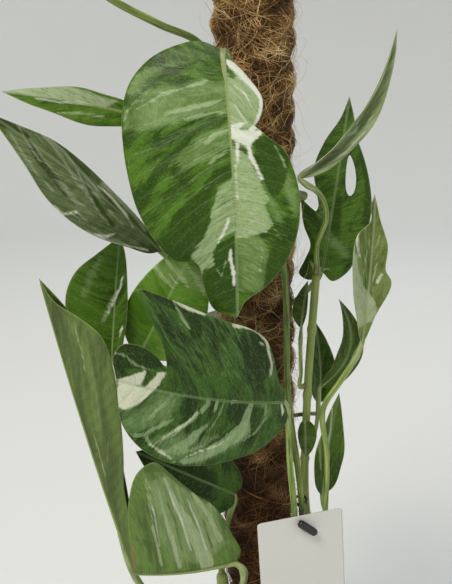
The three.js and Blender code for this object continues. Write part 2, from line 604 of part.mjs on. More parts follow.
// Potting mix with a low crumbly mound and a plain hole for the pole and for each vine
const SOIL_RINGS = [24, 33, 43, 53, 62];
const SOCKET_GAP = 0.8;
function soilGeometry() {
  const { height, topRadius, baseRadius, wall, floor, lipHeight } = POT;
  const low = FOOT.height + floor + GAP;
  const under = height - lipHeight - 4;
  const underRadius = topRadius - (topRadius - baseRadius) * (lipHeight / height) - wall + 1;
  const wallAt = (z) => {
    const share = (z - FOOT.height - floor) / (under - FOOT.height - floor);
    return baseRadius - wall + (underRadius - baseRadius + wall) * share - GAP;
  };
  const rim = SOIL.level - 6;
  const profile = [[0, low], [wallAt(low), low], [wallAt(rim), rim]];
  for (const radius of [...SOIL_RINGS].reverse()) profile.push([radius, SOIL.level]);
  profile.push([0, SOIL.level]);
  const body = mergeVertices(turned(profile, POT_SIDES).deleteAttribute("uv").deleteAttribute("normal"));
  const position = body.getAttribute("position");
  for (let i = 0; i < position.count; i++) {
    if (position.getZ(i) < SOIL.level - 1) continue;
    const [x, y] = [position.getX(i), position.getY(i)];
    const crumbs = Math.sin(x * 0.35 + 1) * Math.cos(y * 0.31) + 0.6 * Math.sin(x * 0.83 - y * 0.67);
    const fall = SOIL.fall * (Math.hypot(x, y) / SOIL_RINGS.at(-1)) ** 2;
    position.setZ(i, SOIL.level - fall + SOIL.lumps * crumbs);
  }
  let solid = solidFrom(body);
  const sleeve = upright(COIR.buriedRadius + GAP, COIR.bottom - GAP, SOIL.level + 20, COIR_SIDES);
  const foot = upright(CORE.radius + GAP, CORE.bottom - GAP, COIR.bottom + 1, 12);
  for (const hole of [sleeve, foot]) solid = solid.subtract(solidFrom(leaned(hole)));
  for (const { points, radius } of Object.values(VINES)) {
    const [x, y, bottom] = points[0];
    const socket = upright(radius + SOCKET_GAP, bottom - GAP, SOIL.level + 20, 8).translate(x, y, 0);
    solid = solid.subtract(solidFrom(socket));
  }
  return geometryFrom(largestBody(solid));
}

const plant = new THREE.Group();
function meshOf(name, geometry, colour, roughness) {
  const mesh = new THREE.Mesh(geometry, material(COLOURS[colour], roughness));
  mesh.name = name;
  return mesh;
}

plant.add(
  meshOf("pot", potGeometry(), "potPlastic", 0.5),
  meshOf("soil", soilGeometry(), "soil", 0.95),
  meshOf("pole_core", leaned(upright(CORE.radius, CORE.bottom, CORE.top, 12)), "stake", 0.8),
  meshOf("coir_wrap", leaned(coirGeometry()), "coir", 0.95),
  meshOf("pole_twine", leaned(twineGeometry()), "twine", 0.8),
);
for (const name of Object.keys(VINES)) plant.add(meshOf(name, vineGeometry(name), "stem", 0.5));
for (const [name, leaf] of Object.entries(LEAVES))
  plant.add(meshOf(name, leafGeometry(leaf), leaf.colour, 0.35));

// A blank card hangs by a hole near its top edge. Its own frame has x to the right, z up and y behind it.
function cardGeometry() {
  const { width, height, thickness, hole, holeInset } = CARD;
  const outline = new THREE.Shape()
    .moveTo(-width / 2, -height)
    .lineTo(width / 2, -height)
    .lineTo(width / 2, 0)
    .lineTo(-width / 2, 0);
  outline.holes.push(new THREE.Path().absarc(0, -holeInset, hole, 0, 2 * Math.PI, true));
  const options = { depth: thickness, bevelEnabled: false, curveSegments: 5 };
  return new THREE.ExtrudeGeometry(outline, options).rotateX(Math.PI / 2);
}

// A black plastic loop holds the card. Its bar lies on the card's face, and its thread goes through the hole
// and round the petiole behind.
const THREAD = [
  [0.8, -3.2, -5.2], [0, -1.6, -4.4], [0, 0.6, -4.2], [2.4, 2, -2.5], [2.6, 6, 2.5], [1, 10.8, 5],
  [2.6, 15.2, 6], [7.2, 15.2, 6.4], [8.8, 11, 6], [7, 7.4, 5],
];
function loopGeometry() {
  const thread = solidFrom(tube(THREAD.map(vector), LOOP.radius, 5, 26));
  const bar = new THREE.CapsuleGeometry(LOOP.barRadius, LOOP.barLength - 2 * LOOP.barRadius, 2, 8);
  bar.rotateX(Math.PI / 2).rotateY(THREE.MathUtils.degToRad(LOOP.barTurn)).translate(...LOOP.barPlace);
  return geometryFrom(largestBody(thread.add(solidFrom(bar))));
}

const tag = new THREE.Group();
tag.position.set(...CARD_PLACE);
tag.rotation.set(0, -THREE.MathUtils.degToRad(CARD.roll), THREE.MathUtils.degToRad(CARD.yaw), "ZYX");
tag.add(
  meshOf("label_card", cardGeometry(), "card", 0.6),
  meshOf("label_loop", loopGeometry(), "blackPlastic", 0.4),
);
plant.add(tag);

export default plant;
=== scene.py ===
import math

import bmesh
import bpy
import mathutils
import numpy as np
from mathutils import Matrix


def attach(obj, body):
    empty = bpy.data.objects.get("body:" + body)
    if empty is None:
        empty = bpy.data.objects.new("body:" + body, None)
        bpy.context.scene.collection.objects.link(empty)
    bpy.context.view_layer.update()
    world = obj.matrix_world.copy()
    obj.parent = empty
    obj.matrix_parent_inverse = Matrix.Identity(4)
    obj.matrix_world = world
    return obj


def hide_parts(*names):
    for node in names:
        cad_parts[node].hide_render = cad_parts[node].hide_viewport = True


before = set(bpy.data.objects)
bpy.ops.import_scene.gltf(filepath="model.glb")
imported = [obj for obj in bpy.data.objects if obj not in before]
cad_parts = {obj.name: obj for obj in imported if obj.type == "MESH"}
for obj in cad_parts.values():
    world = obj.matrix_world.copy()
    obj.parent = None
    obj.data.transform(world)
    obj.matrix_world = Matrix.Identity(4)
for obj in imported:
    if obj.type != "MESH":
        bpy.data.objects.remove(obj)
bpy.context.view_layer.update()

# Nursery pot: one thin wall of injection-moulded polypropylene, black-brown, with a rolled lip and drain
# holes through the floor. It stands on its foot ring and on a small centre foot at the mould's gate.
MM = 0.001
POT = dict(height=126, top=71, base=54, wall=2, floor=2.5, lip=4, lip_height=12)
FOOT = dict(inner=47, height=3, centre=14)
DRAIN = dict(count=6, radius=4.5, circle=36, cut=30, sides=32)
POT_SIDES = 128
POT_SKIN = dict(draw_line=1.43, draw_length=111, dust=16.7, dust_from=85)


def linear(code):
    """An sRGB hex colour as the linear RGBA that a shader takes."""
    parts = [int(code[i:i + 2], 16) / 255 for i in (1, 3, 5)]
    return [c / 12.92 if c <= 0.04045 else ((c + 0.055) / 1.055) ** 2.4 for c in parts] + [1]


def add(tree, kind, inputs=None, **settings):
    """Adds a shader node with its settings. Each input is a value, or the socket that it is linked from.
    Numbered inputs are Blender's own: a Map Range has its value, the range that this runs over and the range
    that comes out, and a colour Mix has its share, and its two colours at 6 and 7."""
    node = tree.nodes.new("ShaderNode" + kind)
    for name, value in settings.items():
        setattr(node, name, value)
    for name, value in (inputs or {}).items():
        if isinstance(value, bpy.types.NodeSocket):
            tree.links.new(value, node.inputs[name])
        else:
            node.inputs[name].default_value = value
    return node


def per_metre(size):
    """A pattern's scale: how many times a size in millimetres goes into a metre."""
    return 1 / (size * MM)


def start_material(name, **constants):
    """A new material with its node tree and shader, and the values that are the same all over it."""
    material = bpy.data.materials.new(name)
    material.use_nodes = True
    shader = material.node_tree.nodes["Principled BSDF"]
    for socket, value in constants.items():
        shader.inputs[socket.replace("_", " ")].default_value = value
    return material, material.node_tree, shader


def make_piece(name, points, faces, materials, slot, nodes=(), layers=None, face_material=None):
    """A smooth mesh from points in millimetres, which rides with the plant and stands for CAD nodes."""
    mesh = bpy.data.meshes.new(name)
    mesh.from_pydata(np.asarray(points) * MM, [], faces)
    for label, values in (layers or {}).items():
        layer = mesh.attributes.new(label, "FLOAT_VECTOR", "POINT")
        layer.data.foreach_set("vector", np.asarray(values, np.float32).ravel())
    for material in materials:
        mesh.materials.append(material)
    if face_material is not None:
        mesh.polygons.foreach_set("material_index", np.asarray(face_material, np.int32))
    mesh.polygons.foreach_set("use_smooth", np.ones(len(mesh.polygons), bool))
    form = bmesh.new()
    form.from_mesh(mesh)
    bmesh.ops.remove_doubles(form, verts=form.verts, dist=1e-7)
    form.to_mesh(mesh)
    form.free()
    piece = bpy.data.objects.new(name, mesh)
    bpy.context.scene.collection.objects.link(piece)
    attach(piece, "root")
    if nodes:
        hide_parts(*nodes)
    return piece


def ring_faces(rings, sides, closed=False):
    """Quads between rings of points, each of which closes on itself."""
    i, k = np.meshgrid(np.arange(rings if closed else rings - 1), np.arange(sides), indexing="ij")
    low, high, after = i * sides, (i + 1) % rings * sides, (k + 1) % sides
    return np.stack([low + k, low + after, high + after, high + k], -1).reshape(-1, 4)


def lathed(profile, sides):
    """Points and quads of a profile of (radius, height), turned about Z."""
    turn = np.linspace(0, 2 * math.pi, sides, endpoint=False)
    profile = np.array(profile, float)
    radius, height = profile[:, :1], np.repeat(profile[:, 1:], sides, 1)
    points = np.stack([radius * np.cos(turn), radius * np.sin(turn), height], -1)
    return points.reshape(-1, 3), ring_faces(len(profile), sides)


def arc(centre, radius, start, end, count):
    """Points of a round stretch of a profile, between two angles in degrees."""
    turns = np.radians(np.linspace(start, end, count))
    return [(centre[0] + radius * math.cos(a), centre[1] + radius * math.sin(a)) for a in turns]


def pot_profile():
    """From the middle of the base, outside and up, over the lip, down inside and in along the floor."""
    top, lip, base, height = POT["top"], POT["lip"], POT["base"], POT["height"]
    under_lip = height - POT["lip_height"]
    under_radius = top - (top - base) * POT["lip_height"] / height
    lift, centre, ring = FOOT["height"], FOOT["centre"], FOOT["inner"]
    inner_floor = lift + POT["floor"]
    foot = [(0, 0), (centre, 0), (centre + 0.6, lift), (ring, lift)]
    foot += arc((ring + 1.6, 0.8), 0.8, 180, 270, 4) + arc((base - 1.4, 1.2), 1.2, 270, 350, 5)
    wall = [(base + (under_radius - base) * s, under_lip * s) for s in (0.1, 0.35, 0.6, 0.85, 0.97)]
    collar = arc((under_radius + 1.2, under_lip - 1), 1, 180, 90, 4)
    collar += arc((top + lip - 1.8, under_lip + 0.8), 0.8, -90, 0, 4)
    rim = arc((top + lip - 1.4, height - 1.4), 1.4, 0, 90, 6)
    rim += arc((top + 1.2, height - 1.2), 1.2, 90, 180, 6)
    inside = [(under_radius - POT["wall"] + 1, under_lip - 4)]
    inside += arc((base - POT["wall"] - 2, inner_floor + 2), 2, 0, -90, 5) + [(0, inner_floor)]
    return foot + wall + collar + rim + inside


# Polypropylene as moulded: a satin skin, with the mould's draw lines and dried dust under the lip. Real draw
# lines are some 0.1 mm apart, too fine to show, so they are drawn 1.4 mm apart.
polypropylene, tree, shader = start_material("moulded polypropylene", Specular_IOR_Level=0.4)
place = add(tree, "TexCoord").outputs["Object"]
drawn = [per_metre(POT_SKIN[size]) for size in ("draw_line", "draw_line", "draw_length")]
draw = add(tree, "VectorMath", {0: place, 1: drawn}, operation="MULTIPLY").outputs[0]
lines = add(tree, "TexNoise", {"Vector": draw, "Scale": 1, "Detail": 3}).outputs[0]
dust = add(tree, "TexNoise", {"Vector": place, "Scale": per_metre(POT_SKIN["dust"]), "Detail": 6,
                              "Roughness": 0.7}).outputs[0]
height = add(tree, "SeparateXYZ", {0: place}).outputs["Z"]
high = add(tree, "MapRange", {0: height, 1: POT_SKIN["dust_from"] * MM, 2: POT["height"] * MM, 3: 0, 4: 0.7})
high = high.outputs[0]
patchy = add(tree, "MapRange", {0: dust, 1: 0.45, 2: 0.7}).outputs[0]
amount = add(tree, "Math", {0: high, 1: patchy}, operation="MULTIPLY").outputs[0]
colour = add(tree, "Mix", {0: amount, 6: linear("#2b2623"), 7: linear("#6b5847")}, data_type="RGBA")
tree.links.new(colour.outputs[2], shader.inputs["Base Color"])
gloss = add(tree, "MapRange", {0: amount, 3: 0.38, 4: 0.8}).outputs[0]
tree.links.new(gloss, shader.inputs["Roughness"])
bump = add(tree, "Bump", {"Height": lines, "Strength": 0.25, "Distance": 0.3 * MM})
tree.links.new(bump.outputs[0], shader.inputs["Normal"])

pot_points, pot_faces = lathed(pot_profile(), POT_SIDES)
pot = make_piece("nursery_pot", pot_points, pot_faces, [polypropylene], "pot_plastic", ["pot"])
cutter_mesh = bpy.data.meshes.new("drain cutter")
form = bmesh.new()
for hole in range(DRAIN["count"]):
    turn = 2 * math.pi * (hole + 0.5) / DRAIN["count"]
    radius = DRAIN["radius"] * MM
    made = bmesh.ops.create_cone(form, segments=DRAIN["sides"], radius1=radius, radius2=radius,
                                 depth=DRAIN["cut"] * MM, cap_ends=True)
    offset = (DRAIN["circle"] * math.cos(turn) * MM, DRAIN["circle"] * math.sin(turn) * MM, 0)
    bmesh.ops.translate(form, verts=made["verts"], vec=offset)
form.to_mesh(cutter_mesh)
form.free()
cutter = bpy.data.objects.new("drain cutter", cutter_mesh)
bpy.context.scene.collection.objects.link(cutter)
pot.modifiers.new("drain holes", "BOOLEAN").object = cutter
cut_mesh = bpy.data.meshes.new_from_object(pot.evaluated_get(bpy.context.evaluated_depsgraph_get()))
pot.modifiers.clear()
pot.data = cut_mesh
bpy.data.objects.remove(cutter)

# Potting mix: damp peat with chips of pine bark and a few white perlite grains, tipped in and pressed down.
# It fills the pot to just under the lip, in a low mound round the pole and the stems.
SOIL = dict(level=114, fall=4, reach=62, lumps=1.2, radius=66.5, skirt=60, skirt_share=0.86)
SOIL_RINGS, SOIL_SIDES = 46, 150
SOIL_SKIN = dict(grit=1.11, damp_and_shade=18.2)
CLODS, GRITS = dict(height=2.4, size=4.5), dict(height=1.2, size=1.8)
CRUMBS = dict(count=1500, least=0.8, most=3.4, mostly_small=2.5, perlite=0.06, bark=0.22, rough=(0.72, 1.15),
              bark_shape=(1.9, 1.1, 0.5), other_shape=(1, 0.9, 0.8), tipped=0.35, bedded=0.25, spread=0.98)


def lumpy(points, size, seed=0):
    """Smooth noise from 0 to 1 at points in millimetres, with lumps of about the size given. Each corner of
    a cell has a value hashed from its place, and a point blends the eight values round it."""
    at = np.asarray(points, float) / size + seed * 17.3
    cell = np.floor(at)
    part = at - cell
    part = part * part * (3 - 2 * part)
    total = 0
    for corner in np.ndindex(2, 2, 2):
        spot = (cell + corner) @ np.array([127.1, 311.7, 74.7])
        value = np.abs(np.sin(spot) * 43758.5453) % 1
        weight = np.prod(np.where(corner, part, 1 - part), axis=-1)
        total = total + weight * value
    return total


def soil_height(x, y):
    """The CAD mound's formula, with finer crumbs on it."""
    crumbs = np.sin(x * 0.35 + 1) * np.cos(y * 0.31) + 0.6 * np.sin(x * 0.83 - y * 0.67)
    fall = SOIL["fall"] * (np.hypot(x, y) / SOIL["reach"]) ** 2
    flat = np.stack([x, y, np.zeros_like(x)], -1)
    clods, grits = lumpy(flat, CLODS["size"], 1), lumpy(flat, GRITS["size"], 2)
    fine = CLODS["height"] * clods + GRITS["height"] * grits - (CLODS["height"] + GRITS["height"]) / 2
    return SOIL["level"] - fall + SOIL["lumps"] * crumbs + fine


# Peat: dark brown, matt, with the damp showing as darker patches. A grain's own shade is in its layer. Real
# peat dust is too fine to show, so the grit is drawn 1.1 mm across.
peat, tree, shader = start_material("damp peat and bark", Roughness=0.92, Specular_IOR_Level=0.25)
shade = add(tree, "Attribute", attribute_name="grain").outputs["Vector"]
shade = add(tree, "SeparateXYZ", {0: shade}).outputs
place = add(tree, "TexCoord").outputs["Object"]
grit = add(tree, "TexNoise", {"Vector": place, "Scale": per_metre(SOIL_SKIN["grit"]), "Detail": 5,
                              "Roughness": 0.7}).outputs[0]
damp_and_shade = add(tree, "TexNoise", {"Vector": place, "Scale": per_metre(SOIL_SKIN["damp_and_shade"]), "Detail": 2})
damp_and_shade = damp_and_shade.outputs[0]
mixed = add(tree, "Math", {0: shade[0], 1: grit, 2: -0.25}, operation="MULTIPLY_ADD").outputs[0]
mixed = add(tree, "Math", {0: damp_and_shade, 1: mixed}, operation="MULTIPLY_ADD").outputs[0]
brown = add(tree, "ValToRGB", {0: mixed})
brown.color_ramp.elements[0].color = linear("#1c130c")
brown.color_ramp.elements[1].color = linear("#6e4c31")
white = add(tree, "Mix", {0: shade[1], 6: brown.outputs[0], 7: linear("#d8d3c6")}, data_type="RGBA")
tree.links.new(white.outputs[2], shader.inputs["Base Color"])
bump = add(tree, "Bump", {"Height": grit, "Strength": 0.8, "Distance": 0.8 * MM})
tree.links.new(bump.outputs[0], shader.inputs["Normal"])


def one_value(values):
    """A layer that holds one value for each point."""
    return np.stack([values, 0 * values, 0 * values], -1)


turn, out = np.meshgrid(np.linspace(0, 2 * math.pi, SOIL_SIDES, endpoint=False),
                        np.linspace(0, SOIL["radius"], SOIL_RINGS))
soil_x, soil_y = out * np.cos(turn), out * np.sin(turn)
soil_points = np.stack([soil_x, soil_y, soil_height(soil_x, soil_y)], -1)
skirt = soil_points[-1] * [SOIL["skirt_share"], SOIL["skirt_share"], 0] + [0, 0, SOIL["skirt"]]
soil_points = np.vstack([soil_points.reshape(-1, 3), skirt])
soil_faces = ring_faces(SOIL_RINGS + 1, SOIL_SIDES)
soil_layer = one_value(0.25 + 0.5 * lumpy(soil_points, 2.5, 4))
make_piece("potting_mix", soil_points, soil_faces, [peat], "potting_mix", ["soil"], {"grain": soil_layer})


def turned(a, b, angle):
    """Two coordinates of points, turned in their plane."""
    return a * np.cos(angle) - b * np.sin(angle), a * np.sin(angle) + b * np.cos(angle)


def scattered(count, seed):
    """Rough twenty-sided grains that lie on the mix, with a shade for each."""
    draw = np.random.default_rng(seed)
    gold = (1 + math.sqrt(5)) / 2
    corners = np.array([[s, g * gold, 0] for s in (-1, 1) for g in (-1, 1)], float)
    corners = np.vstack([corners, np.roll(corners, 1, 1), np.roll(corners, 2, 1)]) / math.hypot(1, gold)
    gap = np.linalg.norm(corners[:, None] - corners[None], axis=-1)
    near = (gap > 0.1) & (gap < 1.2)
    sides = [(a, b, c) for a in range(12) for b in range(a + 1, 12) for c in range(b + 1, 12)
             if near[a, b] and near[b, c] and near[a, c]]
    sides = [(a, b, c) if np.linalg.det(corners[[a, b, c]]) > 0 else (a, c, b) for a, b, c in sides]
    reach = SOIL["radius"] * np.sqrt(draw.uniform(0, 1, count)) * CRUMBS["spread"]
    turn = draw.uniform(0, 2 * math.pi, count)
    growth = draw.uniform(0, 1, count) ** CRUMBS["mostly_small"]
    size = CRUMBS["least"] + (CRUMBS["most"] - CRUMBS["least"]) * growth
    kind = draw.uniform(0, 1, count)
    is_perlite, is_bark = kind < CRUMBS["perlite"], kind > 1 - CRUMBS["bark"]
    stretch = np.where(is_bark[:, None], CRUMBS["bark_shape"], CRUMBS["other_shape"]) * size[:, None]
    shape = corners[None] * draw.uniform(*CRUMBS["rough"], (count, 12, 1)) * stretch[:, None]
    spin = draw.uniform(0, 2 * math.pi, count)
    tip = draw.normal(0, CRUMBS["tipped"], count)
    x, y, z = shape[..., 0], shape[..., 1], shape[..., 2]
    x, z = turned(x, z, tip[:, None])
    x, y = turned(x, y, spin[:, None])
    centre_x, centre_y = reach * np.cos(turn), reach * np.sin(turn)
    base = soil_height(centre_x, centre_y) + CRUMBS["bedded"] * size
    points = np.stack([x + centre_x[:, None], y + centre_y[:, None], z + base[:, None]], -1).reshape(-1, 3)
    faces = (np.array(sides)[None] + 12 * np.arange(count)[:, None, None]).reshape(-1, 3)
    shade = np.where(is_bark, draw.uniform(0.5, 1, count), draw.uniform(0, 0.6, count))
    layer = np.repeat(np.stack([shade, is_perlite, kind], -1), 12, 0)
    return points, faces, layer


crumb_points, crumb_faces, crumb_layer = scattered(CRUMBS["count"], 11)
make_piece("bark_and_perlite", crumb_points, crumb_faces, [peat], "potting_mix", (), {"grain": crumb_layer})

# Stake: a turned rod of spruce that carries the pole, pushed deep into the mix. Only its end shows, above the
# coir. The whole pole leans a little to the left, about its foot.
CORE = dict(radius=11, bottom=30, top=652, chamfer=1, sides=48)
LEAN = dict(degrees=1.1, foot=5.2)
SPRUCE = dict(ring=1.745, stain=6.67)


def leaned(points):
    """Points of the upright pole, turned about its foot."""
    x, y, z = np.moveaxis(np.asarray(points, float), -1, 0)
    x, z = turned(x, z, math.radians(LEAN["degrees"]))
    return np.stack([x + LEAN["foot"], y, z], -1)


# Spruce, sawn across the end: pale growth rings of 1.7 mm round the pith, with a rough cut that takes dirt.
spruce, tree, shader = start_material("sawn spruce", Roughness=0.75, Specular_IOR_Level=0.3)
place = add(tree, "TexCoord").outputs["Object"]
wave_scale = per_metre(SPRUCE["ring"]) * math.pi / 10
rings = add(tree, "TexWave", {"Vector": place, "Scale": wave_scale, "Distortion": 2.5, "Detail": 3},
            wave_type="RINGS", rings_direction="Z").outputs[1]
stain = add(tree, "TexNoise", {"Vector": place, "Scale": per_metre(SPRUCE["stain"]), "Detail": 5}).outputs[0]
wood = add(tree, "Mix", {0: rings, 6: linear("#b8956a"), 7: linear("#8d6a42")}, data_type="RGBA")
worn = add(tree, "MapRange", {0: stain, 1: 0.45, 2: 0.75, 4: 0.6}).outputs[0]
worn = add(tree, "Mix", {0: worn, 6: wood.outputs[2], 7: linear("#574029")}, data_type="RGBA")
tree.links.new(worn.outputs[2], shader.inputs["Base Color"])
bump = add(tree, "Bump", {"Height": stain, "Strength": 0.5, "Distance": 0.5 * MM})
tree.links.new(bump.outputs[0], shader.inputs["Normal"])

rod_profile = [(0, CORE["bottom"]), (CORE["radius"], CORE["bottom"]),
               (CORE["radius"], CORE["top"] - CORE["chamfer"]),
               (CORE["radius"] - CORE["chamfer"], CORE["top"]), (0, CORE["top"])]
rod_points, rod_faces = lathed(rod_profile, CORE["sides"])
make_piece("pole_stake", leaned(rod_points), rod_faces, [spruce], "stake_wood", ["pole_core"])

# Coir: brown coconut husk fibre, felted in a thick mat round the stake. The mat bulges between the turns of
# twine. Long fibres lie all over it in every direction, and some stand out by up to 20 mm.
COIR = dict(bottom=104, top=640, low=20, high=22.6, soil=114, lumps=3.8, tufts=3.4, tuft_size=9, combed=13)
TWINE = dict(pitch=66, starts=3, bottom=128, top=632)
MAT_SIDES, MAT_ROWS = 100, 260
MAT_RADIUS, OUTER_RADIUS = 21, 22
FIBRE = dict(width=0.38, lying=4200, ribbons=9800, loose=900)
FELT = dict(sunk=2.2, clump=2.4, clump_size=6, strand=1.1, strand_size=2.2)
HUSK = dict(tangle=2.38, patch=22.2, shade_from=310, shade_to=430, ragged=120)


def round_mat(turn, height, size, seed):
    """Smooth noise from 0 to 1 on the upright mat, with lumps of a size, at an angle and a height."""
    return lumpy(np.stack([MAT_RADIUS * np.cos(turn), MAT_RADIUS * np.sin(turn), height], -1), size, seed)


def tuft_height(turn, height):
    """How far the tufts stand out, from 0 to 1, at an angle and a height."""
    return round_mat(turn, height, COIR["tuft_size"], 3)


def coir_radius(turn, height):
    """The mat's outer radius at an angle and a height. It is lowest under the twine."""
    share = (height - COIR["soil"]) / (COIR["top"] - COIR["soil"])
    winding = 2 * math.pi * (height - TWINE["bottom"]) / TWINE["pitch"] - turn - math.pi / 2
    bulge = COIR["lumps"] * np.abs(np.sin(TWINE["starts"] * winding / 2)) ** 0.8
    tufts = COIR["tufts"] * (tuft_height(turn, height) - 0.6)
    return COIR["low"] + (COIR["high"] - COIR["low"]) * share + bulge + tufts


def wrapped(turn, height, radius):
    """Points in the leaned pole from an angle, a height and a radius."""
    return leaned(np.stack([radius * np.cos(turn), radius * np.sin(turn), height], -1))


# Coir fibre: dull brown with a waxy glint, gold in its palest strands. Its tone is painted near black in the
# mat's depth, as painted shade, and the fibre is painted darker and redder towards the pole's foot, as
# painted shade under the leaves. Real fibres are 0.1 to 0.3 mm thick, too fine to show, so the tangle between
# the modelled ones is drawn 2.4 mm across.
coir, tree, shader = start_material("coconut coir fibre", Roughness=0.62, Specular_IOR_Level=0.35)
strand = add(tree, "Attribute", attribute_name="strand").outputs["Vector"]
strand = add(tree, "SeparateXYZ", {0: strand}).outputs
place = add(tree, "TexCoord").outputs["Object"]
tangle = add(tree, "TexNoise", {"Vector": place, "Scale": per_metre(HUSK["tangle"]), "Detail": 6,
                                "Roughness": 0.75, "Distortion": 1.6}).outputs[0]
patch = add(tree, "TexNoise", {"Vector": place, "Scale": per_metre(HUSK["patch"]), "Detail": 2}).outputs[0]
tone = add(tree, "Math", {0: tangle, 1: 0.5, 2: strand[0]}, operation="MULTIPLY_ADD").outputs[0]
tone = add(tree, "Math", {0: patch, 1: 0.5, 2: tone}, operation="MULTIPLY_ADD").outputs[0]
tone = add(tree, "MapRange", {0: tone, 1: 0.4, 2: 1.6}).outputs[0]
brown = add(tree, "ValToRGB", {0: tone})
brown.color_ramp.elements[0].color = linear("#32240f")
brown.color_ramp.elements[1].color = linear("#f5dfae")
for spot, code in ((0.25, "#684824"), (0.5, "#a27b42"), (0.75, "#cda564")):
    brown.color_ramp.elements.new(spot).color = linear(code)
# Painted shade: from 430 mm down to 310 mm, along a ragged line, the fibre is multiplied darker and redder.
level = add(tree, "SeparateXYZ", {0: place}).outputs["Z"]
level = add(tree, "Math", {0: patch, 1: HUSK["ragged"] * MM, 2: level}, operation="MULTIPLY_ADD").outputs[0]
damp_and_shade = add(tree, "MapRange", {0: level, 1: HUSK["shade_from"] * MM, 2: HUSK["shade_to"] * MM, 3: 1, 4: 0})
brown = add(tree, "Mix", {0: damp_and_shade.outputs[0], 6: brown.outputs[0], 7: linear("#b0937f")}, data_type="RGBA",
            blend_type="MULTIPLY")
tree.links.new(brown.outputs[2], shader.inputs["Base Color"])
bump = add(tree, "Bump", {"Height": tangle, "Strength": 0.9, "Distance": 1.2 * MM})
tree.links.new(bump.outputs[0], shader.inputs["Normal"])

turn, height = np.meshgrid(np.linspace(0, 2 * math.pi, MAT_SIDES, endpoint=False),
                           np.linspace(COIR["bottom"], COIR["top"] - 1, MAT_ROWS))
mat_radius = coir_radius(turn, height)
felt = np.stack([mat_radius * np.cos(turn), mat_radius * np.sin(turn), height], -1)
clumps, strands = lumpy(felt, FELT["clump_size"], 5), lumpy(felt, FELT["strand_size"], 6)
mat_radius = mat_radius - FELT["sunk"] + FELT["clump"] * clumps + FELT["strand"] * strands
mat_points = wrapped(turn, height, mat_radius)
inner = wrapped(turn[-1], height[-1] + 1, np.full(MAT_SIDES, CORE["radius"] + 0.2))
mat_points = np.vstack([mat_points.reshape(-1, 3), inner])
mat_faces = ring_faces(MAT_ROWS + 1, MAT_SIDES)
# The mat's tone is set lower than the fibres', as painted shade in the mat's depth under them.
mat_layer = one_value(0.22 * lumpy(mat_points, 3, 7) - 0.12)
make_piece("coir_mat", mat_points, mat_faces, [coir], "coir", ["coir_wrap"], {"strand": mat_layer})


def fibre_lines(count, steps, seed, lengths, bow, reach):
    """Centre lines of fibres. bow lifts their middle off the mat and reach their end, in millimetres."""
    draw = np.random.default_rng(seed)
    length = draw.uniform(*lengths, (count, 1))
    share = np.linspace(0, 1, steps)[None]
    height = draw.uniform(COIR["soil"] - 4, COIR["top"], (count, 1))
    turn = draw.uniform(0, 2 * math.pi, (count, 1))
    heading = 4 * math.pi * round_mat(turn, height, COIR["combed"], 9) + draw.normal(0, 0.75, (count, 1))
    heading = heading + draw.normal(0, 0.8, (count, 1)) * share
    waves = 2 * math.pi * share * draw.uniform(0.6, 1.6, (count, 1))
    heading = heading + 0.4 * np.sin(waves + 6 * heading[:, :1])
    step = length / (steps - 1)
    around = np.cumsum(np.cos(heading) * step, 1)
    rise = np.cumsum(np.sin(heading) * step, 1)
    height = height + rise - rise.mean(1, keepdims=True)
    height = COIR["top"] + 5 - np.abs(COIR["top"] + 5 - height)
    height = COIR["soil"] - 5 + np.abs(height - COIR["soil"] + 5)
    turn = turn + around / OUTER_RADIUS
    off = 0.1 + 0.9 * draw.uniform(0, 1, (count, 1)) ** 2
    off = off + bow * draw.uniform(0, 1, (count, 1)) ** 2 * np.sin(math.pi * share)
    off = off + reach * draw.uniform(0.2, 1, (count, 1)) ** 1.6 * share ** 1.7
    radius = coir_radius(turn, height) + off
    # A fibre's tone is painted darker in the hollows between tufts and lighter the further it stands out, as
    # painted shade and painted light.
    shade = draw.beta(1.6, 2.2, (count, 1)) + 1.1 * (tuft_height(turn, height) - 0.47)
    shade = np.clip(shade + 0.2 * (off - 1), 0, 1)
    lines = wrapped(turn, height, radius)
    outward = wrapped(turn, height, radius + 1) - lines
    return lines, outward, np.stack([shade, share + 0 * shade, turn], -1)


def fibre_mesh(lines, outward, layer, width, sides):
    """Ribbons of two sides or rods of three along many lines at once, thinner to their ends."""
    count, steps, _ = lines.shape
    along = np.gradient(lines, axis=1)
    along /= np.linalg.norm(along, axis=-1, keepdims=True)
    across = np.cross(along, outward)
    across /= np.maximum(np.linalg.norm(across, axis=-1, keepdims=True), 1e-9)
    up = np.cross(across, along)
    slim = width / 2 * (1 - 0.75 * np.abs(np.linspace(-1, 1, steps)) ** 4)[None, :, None]
    angles = [0, math.pi] if sides == 2 else [math.pi / 2 + 2 * math.pi * k / sides for k in range(sides)]
    rings = [lines + slim * (across * math.cos(a) + up * math.sin(a)) for a in angles]
    points = np.stack(rings, 2).reshape(-1, 3)
    first = np.arange(count)[:, None, None] * steps * sides + np.arange(steps - 1)[None, :, None] * sides
    k = np.arange(1 if sides == 2 else sides)[None, None]
    after = (k + 1) % sides
    faces = np.stack([first + k, first + after, first + sides + after, first + sides + k], -1).reshape(-1, 4)
    return points, faces, np.repeat(layer.reshape(-1, 3), sides, 0)


for name, count, steps, seed, lengths, bow, reach, width, sides in (
    ("coir_fibres", FIBRE["lying"], 8, 21, (14, 46), 2.2, 0, FIBRE["width"], 3),
    ("coir_flat_fibres", FIBRE["ribbons"], 7, 22, (10, 36), 1.2, 0, 1.15 * FIBRE["width"], 2),
    ("coir_loose_fibres", FIBRE["loose"], 11, 23, (16, 44), 3.5, 17, 0.6 * FIBRE["width"], 3),
):
    points, faces, layer = fibre_mesh(*fibre_lines(count, steps, seed, lengths, bow, reach), width, sides)
    make_piece(name, points, faces, [coir], "coir", (), {"strand": layer})

